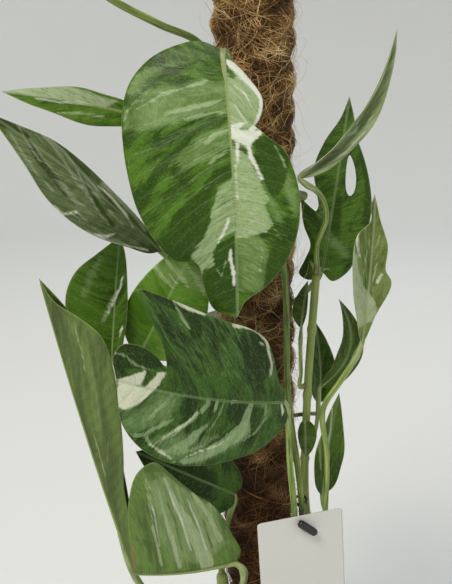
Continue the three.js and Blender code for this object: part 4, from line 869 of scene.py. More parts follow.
# Tones on the blades, placed in thousandths of the midrib. A stroke has points [along, out, half
# width], an area has [along, out], and the number before them is the depth in mm to which a mark counts.
MARKS = {
    "leaf_front_large": [
        # The dark marks here are the leaf's deep green marbling, and also a painted shadow where the blade
        # folds.
        ("dark", 8, [[417, 0], [468, 0], [501, 74], [537, 87], [591, 95], [639, 95], [688, 121], [733, 166],
            [786, 184], [780, 248], [747, 288], [709, 324], [670, 257], [605, 236], [555, 179], [511, 120],
            [464, 90], [437, 61]]),
        ("dark", 6, [[255, -12, 4], [260, 48, 7], [278, 96, 9], [300, 144, 11], [345, 182, 13],
            [384, 234, 15], [435, 285, 19], [505, 330, 19], [570, 358, 11]]),
        ("dark", 1, [[34, 106, 4], [50, 181, 8], [75, 247, 6], [116, 315, 4]]),
        ("wash", 6, [[118, 0], [97, 93], [107, 172], [116, 248], [124, 318], [162, 356], [207, 405],
            [258, 402], [265, 333], [267, 256], [256, 180], [245, 103], [236, 0]]),
        ("wash", 4, [[274, 0], [293, 101], [325, 141], [359, 153], [399, 211], [435, 192], [416, 127],
            [400, 76], [364, 0], [324, 0]]),
        ("wash", 5, [[24, 193, 8], [34, 261, 15], [60, 311, 23], [112, 354, 19]]),
        ("pale", 2, [[107, 70, 6], [125, 152, 8], [139, 242, 8], [172, 311, 6], [185, 354, 6]]),
        ("pale", 2, [[184, 21, 6], [196, 83, 11], [206, 160, 11], [212, 236, 11]]),
        ("pale", 1.5, [[226, 12, 4], [231, 83, 8], [245, 160, 8]]),
        ("pale", 2, [[301, 12, 6], [308, 60, 11], [340, 93, 8]]),
        ("pale", 2, [[373, 12, 6], [393, 57, 9], [421, 87, 8]]),
        ("pale", 2, [[496, 72, 4], [511, 100, 6]]),
        ("pale", 5, [[133, 321, 3], [187, 381, 4], [235, 401, 4], [309, 410, 3], [374, 407, 2]]),
        ("cream", 9, [[43, -12, 8], [64, -31, 14], [92, -56, 14], [128, -84, 12], [163, -110, 11],
            [195, -128, 11], [228, -127, 11], [261, -115, 12], [295, -94, 11], [308, -81, 11]]),
        ("cream", 9, [[257, -137], [317, -126], [337, -104], [350, -83], [371, -73], [406, -83], [444, -97],
            [485, -115], [488, -103], [447, -85], [406, -64], [366, -58], [330, 0], [297, 0], [278, 0],
            [277, -57], [299, -37], [311, -84], [307, -105], [271, -129]]),
        ("pale", 8, [[87, -12, 4], [151, -12, 3], [225, -12, 3], [285, -12, 5]]),
        ("cream", 5, [[324, -25, 8], [374, -23, 7], [420, -20, 4]]),
        ("cream", 4, [[425, -12, 3], [483, -12, 3], [558, -12, 2]]),
        ("pale", 7, [[104, 0], [111, -62], [155, -114], [191, -147], [249, -140], [305, -111], [302, -64],
            [273, 0], [187, 0]]),
        ("cream", 1.5, [[136, -31, 2], [174, -65, 3], [219, -88, 2]]),
        ("cream", 1.5, [[209, -27, 2], [248, -46, 3], [279, -65, 2]]),
        ("pale", 6, [[306, 0], [345, 0], [401, -67], [456, -90], [503, -107], [520, -116], [560, -136],
            [580, -114], [603, -125], [651, -148], [673, -124], [686, -79], [703, 0], [676, 0], [609, 0],
            [516, 0], [403, 0]]),
        ("wash", 6, [[670, 0], [681, -80], [710, -108], [750, -126], [787, -115], [830, -112], [901, -97],
            [899, 0], [810, 0], [729, 0]]),
        ("pale", 3, [[703, -86, 3], [741, -101, 4], [786, -92, 3], [827, -87, 3]]),
        ("pale", 1, [[475, 0], [503, 63], [537, 67], [585, 86], [639, 95], [688, 121], [727, 151],
            [759, 176], [808, 157], [864, 149], [818, 124], [811, 103], [799, 82], [755, 88], [716, 72],
            [669, 0], [618, 0], [550, 0]]),
        ("cream", 9, [[623, 24, 5], [650, 33, 7], [681, 49, 5], [715, 69, 2]]),
        ("cream", 9, [[735, 22, 3], [773, 23, 7], [831, 12, 8], [875, 12, 4]]),
        ("dark", 7, [[714, 69], [683, 0], [755, 0], [830, 0], [893, 0], [942, 0], [992, 0], [986, 0],
            [967, 105], [917, 131], [856, 138], [818, 105], [806, 84], [758, 93]]),
        ("pale", 5, [[813, 76, 4], [840, 59, 5], [788, 42, 4]]),
        ("dark", 4, [[344, -96], [331, -135], [372, -176], [420, -213], [480, -202], [529, -178],
            [559, -153], [545, -132], [500, -119], [446, -101], [401, -87]]),
        ("wash", 3, [[439, -182, 8], [489, -202, 19], [559, -216, 19], [610, -227, 11]]),
        ("pale", 3, [[368, -162, 3], [416, -186, 4], [459, -200, 3]]),
        ("wash", 3, [[505, -112, 6], [562, -141, 11], [626, -165, 15]]),
        ("dark", 4, [[743, -125], [707, -160], [723, -208], [806, -186], [861, -145], [899, -103],
            [809, -114]]),
        ("pale", 3, [[651, -128, 2], [674, -153, 3], [709, -172, 2]]),
    ],
    "leaf_front_split": [
        # This wash over the upper half lays a painted grey sheen over the deep green.
        ("wash", -0.6, [[1040, 480], [870, 510], [660, 480], [510, 470], [320, 430], [200, 330], [120, 150],
            [350, 150], [550, 150], [670, 150], [750, 210], [860, 330]]),
        ("dark", 8, [[1000, 480], [930, 510], [830, 490], [760, 490], [710, 460], [680, 430], [650, 350],
            [660, 310], [710, 330], [760, 400], [820, 440], [890, 450]]),
        ("dark", 8, [[920, 400, 8], [860, 350, 11], [790, 280, 11], [710, 250, 6], [670, 210, 3]]),
        ("dark", 8, [[430, 460], [380, 450], [290, 410], [230, 330], [180, 240], [170, 150], [230, 120],
            [310, 250], [360, 370]]),
        ("dark", 8, [[1050, 190], [1040, 210], [980, 230], [890, 220], [780, 190], [750, 150], [830, 110],
            [930, 90], [1020, 60], [1060, 140]]),
        ("dark", 2, [[420, 400, 15], [370, 320, 15], [320, 210, 15]]),
        ("pale", 6, [[1060, 140, 6], [1000, 140, 5], [940, 110, 5], [860, 100, 3]]),
        ("pale", 4, [[850, 470, 4], [790, 420, 5], [730, 370, 4]]),
        ("cream", 9, [[870, 490, 6], [810, 480, 13], [760, 480, 18], [700, 470, 15], [670, 470, 8]]),
        ("cream", 9, [[490, 440, 15], [430, 440, 15], [410, 440, 10], [370, 430, 8], [310, 410, 9],
            [250, 370, 10], [220, 310, 9], [170, 240, 8], [160, 160, 5]]),
        ("cream", 6, [[300, 360, 6], [270, 350, 4]]),
        ("cream", 9, [[1000, 0], [870, 100], [870, 0], [890, 0], [850, 0], [820, 60], [810, 100],
            [760, 110], [790, 0], [830, -60], [860, -100], [900, -140], [940, -140], [970, -80], [990, 0]]),
        ("wash", 6, [[940, -130], [850, -100], [790, 0], [770, 0], [680, 0], [640, 0], [640, 0], [640, -60],
            [660, -130], [720, -190], [810, -250], [870, -270]]),
        ("dark", 8, [[570, 0], [500, 0], [510, 0], [520, 0], [550, -90], [610, -110], [630, -70], [620, 0],
            [600, 0]]),
        ("pale", 8, [[480, 0, 8], [480, -30, 11], [530, -90, 11], [570, -140, 11], [620, -190, 11],
            [680, -240, 6]]),
        ("cream", 6, [[530, -80, 4], [580, -150, 6], [650, -220, 6], [680, -250, 3]]),
        ("dark", 8, [[480, 0], [420, 0], [410, 0], [420, 0], [440, -80], [480, -140], [460, -60],
            [470, 0]]),
        ("dark", 8, [[310, 0], [260, 0], [220, 0], [230, 0], [260, -100], [330, -120], [360, -80],
            [330, 0]]),
        ("pale", 7, [[430, 0, 6], [430, -40, 5], [440, -70, 3]]),
        ("pale", 6, [[310, 0, 5], [340, 0, 8], [350, -12, 4]]),
        ("pale", 9, [[200, 0], [210, 0], [210, -110], [190, -160], [230, -210], [280, -240], [340, -290],
            [410, -330], [500, -370], [580, -370], [490, -330], [410, -270], [340, -220], [320, -170],
            [260, -110], [230, 0]]),
        ("pale", 8, [[450, -130], [490, -200], [510, -250], [550, -290], [650, -330], [610, -280],
            [560, -230], [520, -180]]),
        ("pale", 6, [[290, -140, 5], [340, -210, 8], [400, -260, 8], [480, -310, 5]]),
        ("pale", 6, [[540, -100, 4], [590, -170, 7], [640, -230, 8], [710, -280, 6]]),
        ("pale", 5, [[440, -250, 5], [510, -290, 8], [580, -320, 8], [660, -320, 5]]),
        ("pale", 5, [[760, -220, 8], [760, -260, 9], [720, -300, 6]]),
        ("pale", 5, [[390, 0, 4], [400, -60, 6], [420, -120, 5], [450, -180, 3]]),
        ("pale", 4, [[120, -12, 4], [110, -90, 6], [160, -170, 6], [230, -220, 4]]),
        ("pale", 5, [[700, 0, 5], [700, -12, 8], [730, -80, 8], [780, -150, 5]]),
        ("wash", 4, [[740, -280], [640, -190], [490, -200], [290, -180], [190, -200], [310, -290],
            [450, -370], [590, -380]]),
        ("cream", 4, [[300, -190, 4], [370, -250, 5], [460, -290, 6], [520, -330, 4]]),
        ("pale", 6, [[660, -140, 8], [720, -190, 11], [790, -250, 11], [840, -260, 5]]),
        ("dark", 6, [[270, -120, 9], [330, -180, 12], [410, -240, 10], [480, -290, 6]]),
        ("dark", 6, [[410, -100, 13], [460, -170, 13], [480, -230, 10]]),
        ("wash", 3, [[200, 0, 10], [130, -12, 20], [80, -70, 15]]),
        ("cream", 9, [[80, 0, 5], [20, 0, 6], [0, -60, 8], [0, -80, 3]]),
        ("cream", 5, [[730, -290, 4], [670, -320, 6], [600, -350, 5]]),
    ],
    "leaf_front_low": [
        # On this leaf the wash and the broad pale and cream strokes are a painted sheen: a soft grey-white
        # highlight in streaks down the folded blade.
        ("wash", 5, [[1180, -770], [1060, -850], [810, -810], [410, -640], [140, -210], [340, -60],
            [620, -100], [890, -320]]),
        ("pale", 0.6, [[1070, -830, 7], [900, -670, 24], [660, -470, 43], [440, -230, 57], [300, -40, 57]]),
        ("pale", 1.2, [[1090, -720, 7], [920, -520, 14], [740, -290, 19], [580, -50, 14]]),
        ("pale", 0.4, [[690, -730, 9], [420, -510, 21], [220, -250, 24]]),
        ("pale", 2, [[1230, -810, 4], [1120, -610, 7], [980, -390, 9], [770, -80, 9]]),
        ("cream", 1.2, [[1180, -750, 4], [1040, -530, 6], [850, -240, 5]]),
        ("cream", 1, [[970, -730, 4], [720, -480, 7], [510, -190, 5]]),
        ("cream", 1, [[730, -680, 4], [490, -400, 6], [340, -170, 4]]),
        ("dark", 8, [[1280, -870, 36], [1090, -920, 36], [840, -810, 29], [480, -650, 21]]),
        ("dark", 5, [[950, -630, 7], [770, -450, 10], [600, -190, 7]]),
        ("dark", 4, [[470, -470, 7], [290, -190, 10]]),
        ("dark", 4, [[1180, -620, 11], [1040, -380, 14], [890, -110, 14]]),
        ("dry", 9, [[1140, -250, 14], [1080, -150, 25], [1020, -30, 29]]),
    ],
    "leaf_left_long": [
        ("wash", 2, [[880, -60, 6], [780, -90, 14], [650, -90, 17], [520, -60, 14]]),
        ("pale", 6, [[750, -160, 3], [660, -150, 3], [610, -130, 2]]),
        ("pale", 3, [[750, -130, 2], [670, -130, 3], [620, -120, 2]]),
        ("pale", 3, [[560, -90, 2], [490, -80, 3], [410, -50, 2]]),
        ("cream", 2, [[870, -80, 1], [770, -80, 2], [680, -70, 1]]),
        ("cream", 2, [[520, -30, 1], [430, -30, 2], [350, -20, 1]]),
        ("dark", 5, [[890, -40, 6], [790, -40, 8], [630, -20, 8], [440, -12, 8]]),
        ("dark", 4, [[840, -120, 6], [680, -110, 8], [520, -80, 8], [340, -50, 6]]),
    ],
    "leaf_left_upper": [
        # This wash over the whole blade is a painted reflection: the grey haze of a clear sleeve over the
        # leaf.
        ("wash", 1, [[910, 0], [790, 80], [560, 60], [340, 0], [70, 0], [210, -140], [390, -190],
            [560, -190], [720, -140], [860, -80]]),
        ("wash", 5, [[870, -50, 9], [790, -80, 17], [710, -110, 21], [610, -130, 17], [550, -150, 13]]),
        ("pale", 3, [[870, 30, 3], [800, -12, 4], [710, -50, 3]]),
        ("pale", 5, [[780, 60, 3], [710, 50, 6], [630, 20, 6], [540, -20, 6], [460, -40, 4]]),
        ("pale", 5, [[660, 60, 4], [570, 30, 5], [470, -30, 5], [370, -70, 5], [300, -80, 3]]),
        ("wash", 4, [[700, 60, 13], [600, 30, 17], [480, -12, 17]]),
        ("cream", 6, [[450, 30, 3], [380, 30, 6], [320, 20, 6], [260, 12, 6], [190, -12, 3]]),
        ("pale", 5, [[440, 50, 9], [340, 50, 11], [240, 40, 9], [140, 20, 6]]),
        ("pale", 4, [[630, -80, 3], [530, -90, 6], [470, -110, 4]]),
        ("cream", 6, [[560, -170, 6], [510, -180, 6], [460, -130, 5], [400, -130, 3]]),
        ("wash", 6, [[530, -180, 13], [420, -170, 26], [330, -150, 17]]),
        ("cream", 6, [[340, -160, 4], [280, -130, 6], [250, -90, 3]]),
        ("cream", 6, [[380, -170, 3], [310, -160, 4], [210, -120, 4], [60, -40, 3]]),
        ("dark", 8, [[910, 20, 9], [820, 12, 13], [730, -40, 17], [620, -70, 17], [540, -100, 9]]),
        ("pale", 4, [[880, -20, 3], [800, -60, 4], [700, -100, 5], [600, -120, 4]]),
        ("pale", 4, [[800, 12, 3], [710, -30, 4], [600, -60, 4], [490, -90, 4], [380, -100, 3]]),
        ("pale", 4, [[860, 40, 3], [780, 60, 3], [680, 60, 4], [560, 30, 4], [430, 12, 3]]),
        ("pale", 4, [[490, -150, 3], [380, -140, 4], [270, -130, 4], [160, -90, 3]]),
        ("pale", 4, [[520, 20, 3], [430, -12, 4], [320, -30, 4], [230, -40, 3]]),
        ("dark", 7, [[580, 30, 9], [470, -20, 11], [380, -50, 11], [280, -70, 9]]),
        ("dark", 5, [[840, 40, 6], [750, 70, 8], [630, 60, 8], [510, 40, 6]]),
    ],
    "leaf_left_top": [
        ("pale", 1.3, [[1000, 0], [830, 60], [630, 100], [420, 90], [210, 70], [300, 0], [400, 0], [520, 0],
            [690, 0], [820, 0], [970, 0]]),
        ("cream", 9, [[780, -20, 4], [620, -20, 6], [480, 0, 7], [390, 0, 6]]),
        ("dark", 4, [[930, -12, 5], [770, 0, 9], [640, 12, 5]]),
        ("dark", 4, [[520, 70, 4], [370, 40, 8], [250, 40, 6]]),
        ("pale", 2, [[630, -100, 4], [450, -70, 5], [300, -70, 4]]),
    ],
    "leaf_left_dark": [
        ("cream", 6, [[360, -60, 11], [460, -20, 15], [590, 60, 15], [700, 90, 7]]),
        ("cream", 6, [[210, 90, 9], [290, 130, 11]]),
        ("pale", 5, [[300, -90, 15], [440, -50, 19], [570, 20, 15]]),
        ("wash", 3, [[510, -260, 22], [690, -200, 30], [800, -150, 22]]),
    ],
    "leaf_behind_front": [
        ("wash", 6, [[660, -190, 47], [670, -80, 80], [720, 150, 80]]),
        ("pale", 6, [[640, -190, 10], [600, -110, 17], [560, -12, 13]]),
        ("pale", 6, [[720, -130, 8], [680, -20, 16], [620, 90, 11]]),
        ("pale", 6, [[760, 12, 9], [710, 120, 15], [650, 220, 11]]),
        ("cream", 3, [[640, -70, 5], [600, 12, 7]]),
        ("dark", 5, [[350, -210, 53], [260, -70, 67]]),
    ],
    "leaf_low_dark": [
        # This dark area over the whole blade is painted shade: the leaf hangs low in the plant's shadow.
        ("dark", 8, [[940, 0], [720, 130], [450, 170], [250, 70], [210, -120], [510, -180], [810, -130]]),
    ],
    "leaf_right_top": [
        ("pale", 5, [[70, -40, 4], [230, -80, 10], [400, 30, 11], [550, -50, 9], [730, -60, 6],
            [870, -30, 3]]),
        ("pale", 4, [[130, 30, 4], [280, 70, 8], [420, 70, 7], [540, 50, 4]]),
        ("cream", 4, [[70, -50, 4], [180, -70, 6], [300, -90, 5], [430, -70, 4]]),
        ("dark", 4, [[140, -60, 4], [260, 30, 8], [400, 40, 8], [530, 40, 6]]),
        ("dark", 4, [[290, -90, 4], [400, -80, 7], [540, -80, 6]]),
    ],
    "leaf_right_holed": [
        ("pale", 3, [[50, -80, 10], [10, -30, 19], [20, 30, 10]]),
        ("wash", 2, [[210, 0, 24], [130, 110, 29]]),
        ("wash", 2, [[470, -100, 14], [330, -60, 19]]),
        ("dark", 1, [[430, 20, 24], [270, 30, 29]]),
        ("dark", 5, [[720, 110, 14], [510, 180, 14], [310, 200, 14]]),
    ],
    "leaf_right_curled": [
        ("cream", 6, [[760, -130, 7], [730, -140, 11], [610, -100, 9]]),
        ("cream", 5, [[440, 50, 9], [500, 70, 6]]),
        ("pale", 2, [[760, -150], [740, -160], [580, -120], [430, -60], [310, 60], [190, 70], [100, -60],
            [150, -80], [430, -160], [680, -170]]),
        ("pale", 3, [[770, -20, 6], [580, -50, 10], [390, -70, 9]]),
        ("pale", 3, [[750, 40, 5], [580, 30, 7], [380, 30, 6]]),
        ("dark", 3, [[580, -150, 7], [430, -110, 7], [260, -50, 7]]),
    ],
    "leaf_right_low": [
        ("cream", 3, [[860, -40, 6], [670, -12, 9], [450, -12, 8]]),
        ("pale", 3, [[590, -100, 15], [280, -50, 15]]),
    ],
}


def midrib(leaf):
    """The length between a midrib's ends, and a function for the places along it."""
    base, tip = np.array(leaf["base"], float), np.array(leaf["tip"], float)
    length = np.linalg.norm(tip - base)
    along = (tip - base) / length
    face = np.array(leaf["face"], float)
    face = unit(face - along * (face @ along))
    control = (base + tip) / 2 + face * 2 * leaf["arch"] + np.cross(along, face) * 2 * leaf["bend"]
    twist = math.radians(leaf.get("twist", 0))

    def frame_at(share):
        """The point, and the directions along, to the right and up, at shares of the midrib."""
        s = np.asarray(share, float)[..., None]
        point = (1 - s) ** 2 * base + 2 * s * (1 - s) * control + s**2 * tip
        tangent = unit((1 - s) * (control - base) + s * (tip - control))
        right = unit(np.cross(tangent, face))
        right = right * np.cos(twist * s) + np.cross(tangent, right) * np.sin(twist * s)
        return point, tangent, right, np.cross(right, tangent)

    return length, frame_at


def margin(points, t):
    """A half's margin from base to tip, and where the side vein to each of its points starts."""
    steps = np.linspace(0, 1, 601)
    curve = spline([[0, 0], *points, [1, 0]], steps)
    reach = np.maximum.accumulate(np.clip(curve[:, 0] - VEIN_SWEEP * curve[:, 1], 0, 1))
    along = np.interp(t, steps, curve[:, 0])
    out = np.maximum(np.interp(t, steps, curve[:, 1]), 0)
    return along, out, np.interp(t, steps, reach) * (1 - VEIN_SPREAD) + t * VEIN_SPREAD


def blade_grid(leaf, length):
    """Rows from base to tip, evenly spaced along the margins, and columns from left to right."""
    steps = np.linspace(0, 1, 400)
    outlines = [np.stack(margin(leaf[half], steps)[:2], -1) * length for half in ("left", "right")]
    gaps = np.max([np.linalg.norm(np.diff(outline, axis=0), axis=1) for outline in outlines], axis=0)
    run = np.concatenate([[0], np.cumsum(gaps + 1e-3)])
    widest = max(outline[:, 1].max() for outline in outlines)
    rows = int(np.clip(run[-1] / BLADE["row"], BLADE["least_rows"], BLADE["most_rows"]))
    columns = int(np.clip(widest / BLADE["column"], BLADE["least_columns"], BLADE["most_columns"]))
    t = np.interp(np.linspace(0, run[-1], rows + 1), run, steps)
    return np.meshgrid(t, np.linspace(-1, 1, 2 * columns + 1), indexing="ij")


def blade(leaf, t, v):
    """Points, face directions and places in the outline, where the blade's middle sheet lies."""
    length, frame_at = midrib(leaf)
    left, right = margin(leaf["left"], t), margin(leaf["right"], t)
    start = (left[2] + right[2]) / 2
    is_right = v > 0
    reach = np.abs(v)
    along = start + (np.where(is_right, right[0], left[0]) - start) * reach**VEIN_CURVE
    out = np.where(is_right, right[1], left[1]) * reach
    place = np.clip(along, 0, 1)
    point, tangent, side, up = frame_at(place)
    fold = np.radians(np.where(is_right, leaf["fold"][1], leaf["fold"][0]))
    cup = np.where(is_right, leaf["cup"][1], leaf["cup"][0])
    ripple = leaf["wave"] * np.sin(2 * np.pi * (3 * t + 0.3 * is_right))
    lift = out * length * np.sin(fold) + (cup + ripple) * np.sin(np.pi * t) * reach**2
    sign = np.sign(v)
    points = (point + tangent * ((along - place) * length)[..., None]
              + side * (sign * out * length * np.cos(fold))[..., None] + up * lift[..., None])
    face = up * np.cos(fold)[..., None] - side * (sign * np.sin(fold))[..., None]
    edge = np.where(is_right, right[1], left[1]) * length * (1 - reach)
    return points, face, along, out * sign, start, edge


def mark_fields(marks, along, out, length):
    """How far each point lies inside the marks of each tone, in millimetres."""
    least = dict(cream=-9.0, pale=-6.0, wash=-9.0, dark=-6.0, dry=-9.0)
    fields = {kind: np.full(along.shape, low) for kind, low in least.items()}
    here = np.stack([along, out], -1)
    for kind, cap, mark in marks:
        mark = np.array(mark, float) / 1000
        is_area = mark.shape[1] == 2
        ends = np.roll(mark, -1, 0) if is_area else mark[1:]
        nearest = np.full(along.shape, -1e9)
        crossings = np.zeros(along.shape, int)
        for a, b in zip(mark, ends):
            span = b[:2] - a[:2]
            share = np.clip(((here - a[:2]) @ span) / max(span @ span, 1e-9), 0, 1)
            gap = np.linalg.norm(here - a[:2] - share[..., None] * span, axis=-1)
            half = 0 if is_area else a[2] + (b[2] - a[2]) * share
            nearest = np.maximum(nearest, half - gap)
            if a[1] != b[1]:
                meets = a[0] + (out - a[1]) * span[0] / span[1]
                crossings += ((a[1] > out) != (b[1] > out)) & (along < meets)
        if is_area:
            nearest = np.where(crossings % 2 == 1, -nearest, nearest)
        fields[kind] = np.maximum(fields[kind], np.minimum(nearest * length, cap))
    return fields


def blade_parts(leaf, marks, number):
    """The blade's two faces and rim, with the layers that its shader reads: vein, tones, edge and rib."""
    length, _ = midrib(leaf)
    t, v = blade_grid(leaf, length)
    rows, columns = t.shape
    kept = np.ones((rows - 1, columns - 1), bool)
    if "hole" in leaf:
        centre, radii = leaf["hole"]["centre"], leaf["hole"]["radii"]
        offset = [(t - centre[0]) / radii[0], (v - centre[1]) / radii[1]]
        far = np.hypot(*offset)
        kept = (far[1:, 1:] + far[1:, :-1] + far[:-1, 1:] + far[:-1, :-1]) / 4 > 1
        touches = np.zeros((2, rows, columns), bool)
        for state in (0, 1):
            cells = kept == bool(state)
            for i, j in ((0, 0), (0, 1), (1, 0), (1, 1)):
                touches[state, i:rows - 1 + i, j:columns - 1 + j] |= cells
        on_rim = touches[0] & touches[1]
        t = np.where(on_rim, centre[0] + offset[0] / far * radii[0], t)
        v = np.where(on_rim, centre[1] + offset[1] / far * radii[1], v)
    points, face, along, out, start, edge = blade(leaf, t, v)
    phase = start * length / THICK["vein_spacing"] + 0.12 * np.sin(number + 7 * np.sign(v))
    swell = np.clip(np.abs(out) * length / 5, 0, 1) * np.clip(edge / 4, 0, 1)
    points = points + face * (THICK["quilt"] * swell * np.cos(2 * np.pi * phase))[..., None]
    thick = THICK["rim"] + (THICK["middle"] - THICK["rim"]) * np.clip(edge / 6, 0, 1)
    sheets = [points + face * (thick / 2 * side)[..., None] for side in (1, -1)]
    sheet_points = np.stack(sheets, 2).reshape(-1, 3)
    index = np.arange(rows * columns).reshape(rows, columns) * 2
    ring = np.stack([index[:-1, :-1], index[:-1, 1:], index[1:, 1:], index[1:, :-1]], -1)[kept]
    walls = []
    padded = np.pad(kept, 1)
    for i in range(rows - 1):
        for j in range(columns - 1):
            if not kept[i, j]:
                continue
            corner = [index[i, j], index[i, j + 1], index[i + 1, j + 1], index[i + 1, j]]
            beside = [padded[i, j + 1], padded[i + 1, j + 2], padded[i + 2, j + 1], padded[i + 1, j]]
            for k in range(4):
                if not beside[k]:
                    a, b = corner[k], corner[(k + 1) % 4]
                    walls.append([a, a + 1, b + 1, b])
    faces = ring.tolist() + (ring[:, ::-1] + 1).tolist() + walls
    fields = mark_fields(marks, along, out, length)
    across, down = start * length, out * length
    if np.abs(out).max() < GRAIN["narrow"]:
        angle = math.radians(GRAIN["angle"])
        across = (along * math.sin(angle) - np.abs(out) * math.cos(angle)) * length
        down = (along * math.cos(angle) + np.abs(out) * math.sin(angle)) * length * GRAIN["longer"]
    nothing = np.zeros(t.shape)
    vein = np.stack([across, down, nothing + number], -1)
    tones = np.stack([fields["cream"], fields["pale"], fields["dark"]], -1)
    rim = np.stack([edge, nothing, fields["dry"]], -1)
    middle = np.stack([np.abs(out) * length, fields["wash"], nothing], -1)
    layers = (vein, tones, rim, middle)
    vein, tones, rim, middle = [np.repeat(layer.reshape(-1, 3), 2, 0) for layer in layers]
    rim[1::2, 1] = 1
    return sheet_points, faces, vein, tones, rim, middle


def vine_point(name, height):
    """The point of a vine's middle at a height."""
    line = spline(VINES[name][1], np.linspace(0, 1, 3000))
    return np.array([np.interp(height, line[:, 2], line[:, axis]) for axis in range(3)])


def stalk_parts(leaf, number):
    """The midrib's and the petiole's rods. A petiole is grooved above and swollen at its knee and foot."""
    length, frame_at = midrib(leaf)
    radius = leaf["petiole"]
    share = np.linspace(0.0, 0.985, RIB["steps"])
    thick = RIB["end"] + (RIB["share"] * radius - RIB["end"]) * (1 - share) ** 0.9
    point, _, _, up = frame_at(share)
    rib = tube(point - up * (RIB["sink"] * thick)[:, None], thick, RIB["sides"], up[0])
    joint, sunk = frame_at(0.0), frame_at(PETIOLE["sunk"])
    end = [joint[0] - joint[3] * 0.5 * radius, sunk[0] - sunk[3] * 0.3 * radius]
    if "at" in leaf:
        root = vine_point(leaf["vine"], leaf["at"])
        out = unit((np.array(leaf["via"][0]) - root) * [1, 1, 0])
        gap = VINES[leaf["vine"]][0]
    else:
        line = np.array(VINES[leaf["vine"]][1], float)
        root, out, gap = line[-1], unit(line[-1] - line[-2]), 0
    path = [root + out * 0.5 * gap, root + out * (gap + PETIOLE["start"]), *leaf["via"], *end][::-1]
    line = spline(path, np.linspace(0, 1, 26 * len(path)))
    run = np.concatenate([[0], np.cumsum(np.linalg.norm(np.diff(line, axis=0), axis=1))])
    knee = np.linalg.norm(sunk[0] - joint[0]) + PETIOLE["knee_at"]
    swell = np.exp(-((run - knee) / PETIOLE["knee_reach"]) ** 2)
    radii = PETIOLE["slim"] * radius * (1 + (PETIOLE["knee"] - 1) * swell)
    radii *= 1 + (PETIOLE["foot"] - 1) * np.clip(1 - (run[-1] - run) / PETIOLE["foot_length"], 0, 1) ** 1.5
    radii *= 0.45 + 0.55 * np.clip(run / (0.9 * knee), 0, 1) ** 0.6

    def grooved(turn):
        """The petiole's radius by angle, as a share: a groove runs along its upper side."""
        off = np.abs((turn + math.pi) % (2 * math.pi) - math.pi)
        return 0.97 - 0.2 * np.exp(-((off / 0.36) ** 2)) + 0.07 * np.exp(-(((off - 0.66) / 0.2) ** 2))

    stalk = tube(line, radii, PETIOLE["sides"], joint[3], grooved)
    parts = []
    for (points, faces, distance), is_rib in ((rib, 1), (stalk, 0)):
        same = np.ones(len(points))
        past_knee = 30 * same if is_rib else distance[:, 0] - knee
        vein = np.column_stack([distance, number * same])
        tones = np.column_stack([is_rib * same, past_knee, run[-1] - distance[:, 0]])
        parts.append((points, faces, vein, tones, np.zeros((len(points), 3)), np.zeros((len(points), 3))))
    return parts


# Marbling: each kind of mark is so many millimetres wide across the side veins and long along them. Real
# ones go down to 0.1 mm, which wouldn't show, so the finest are drawn 0.7 and 1 mm wide.
CLOUD = dict(width=13.33, length=25)
STREAK = dict(width=2, length=11.1)
FLECK = dict(width=1, length=3.85)
SPECK = dict(width=0.667, length=1.25)
CELL = dict(width=1.333, length=2)


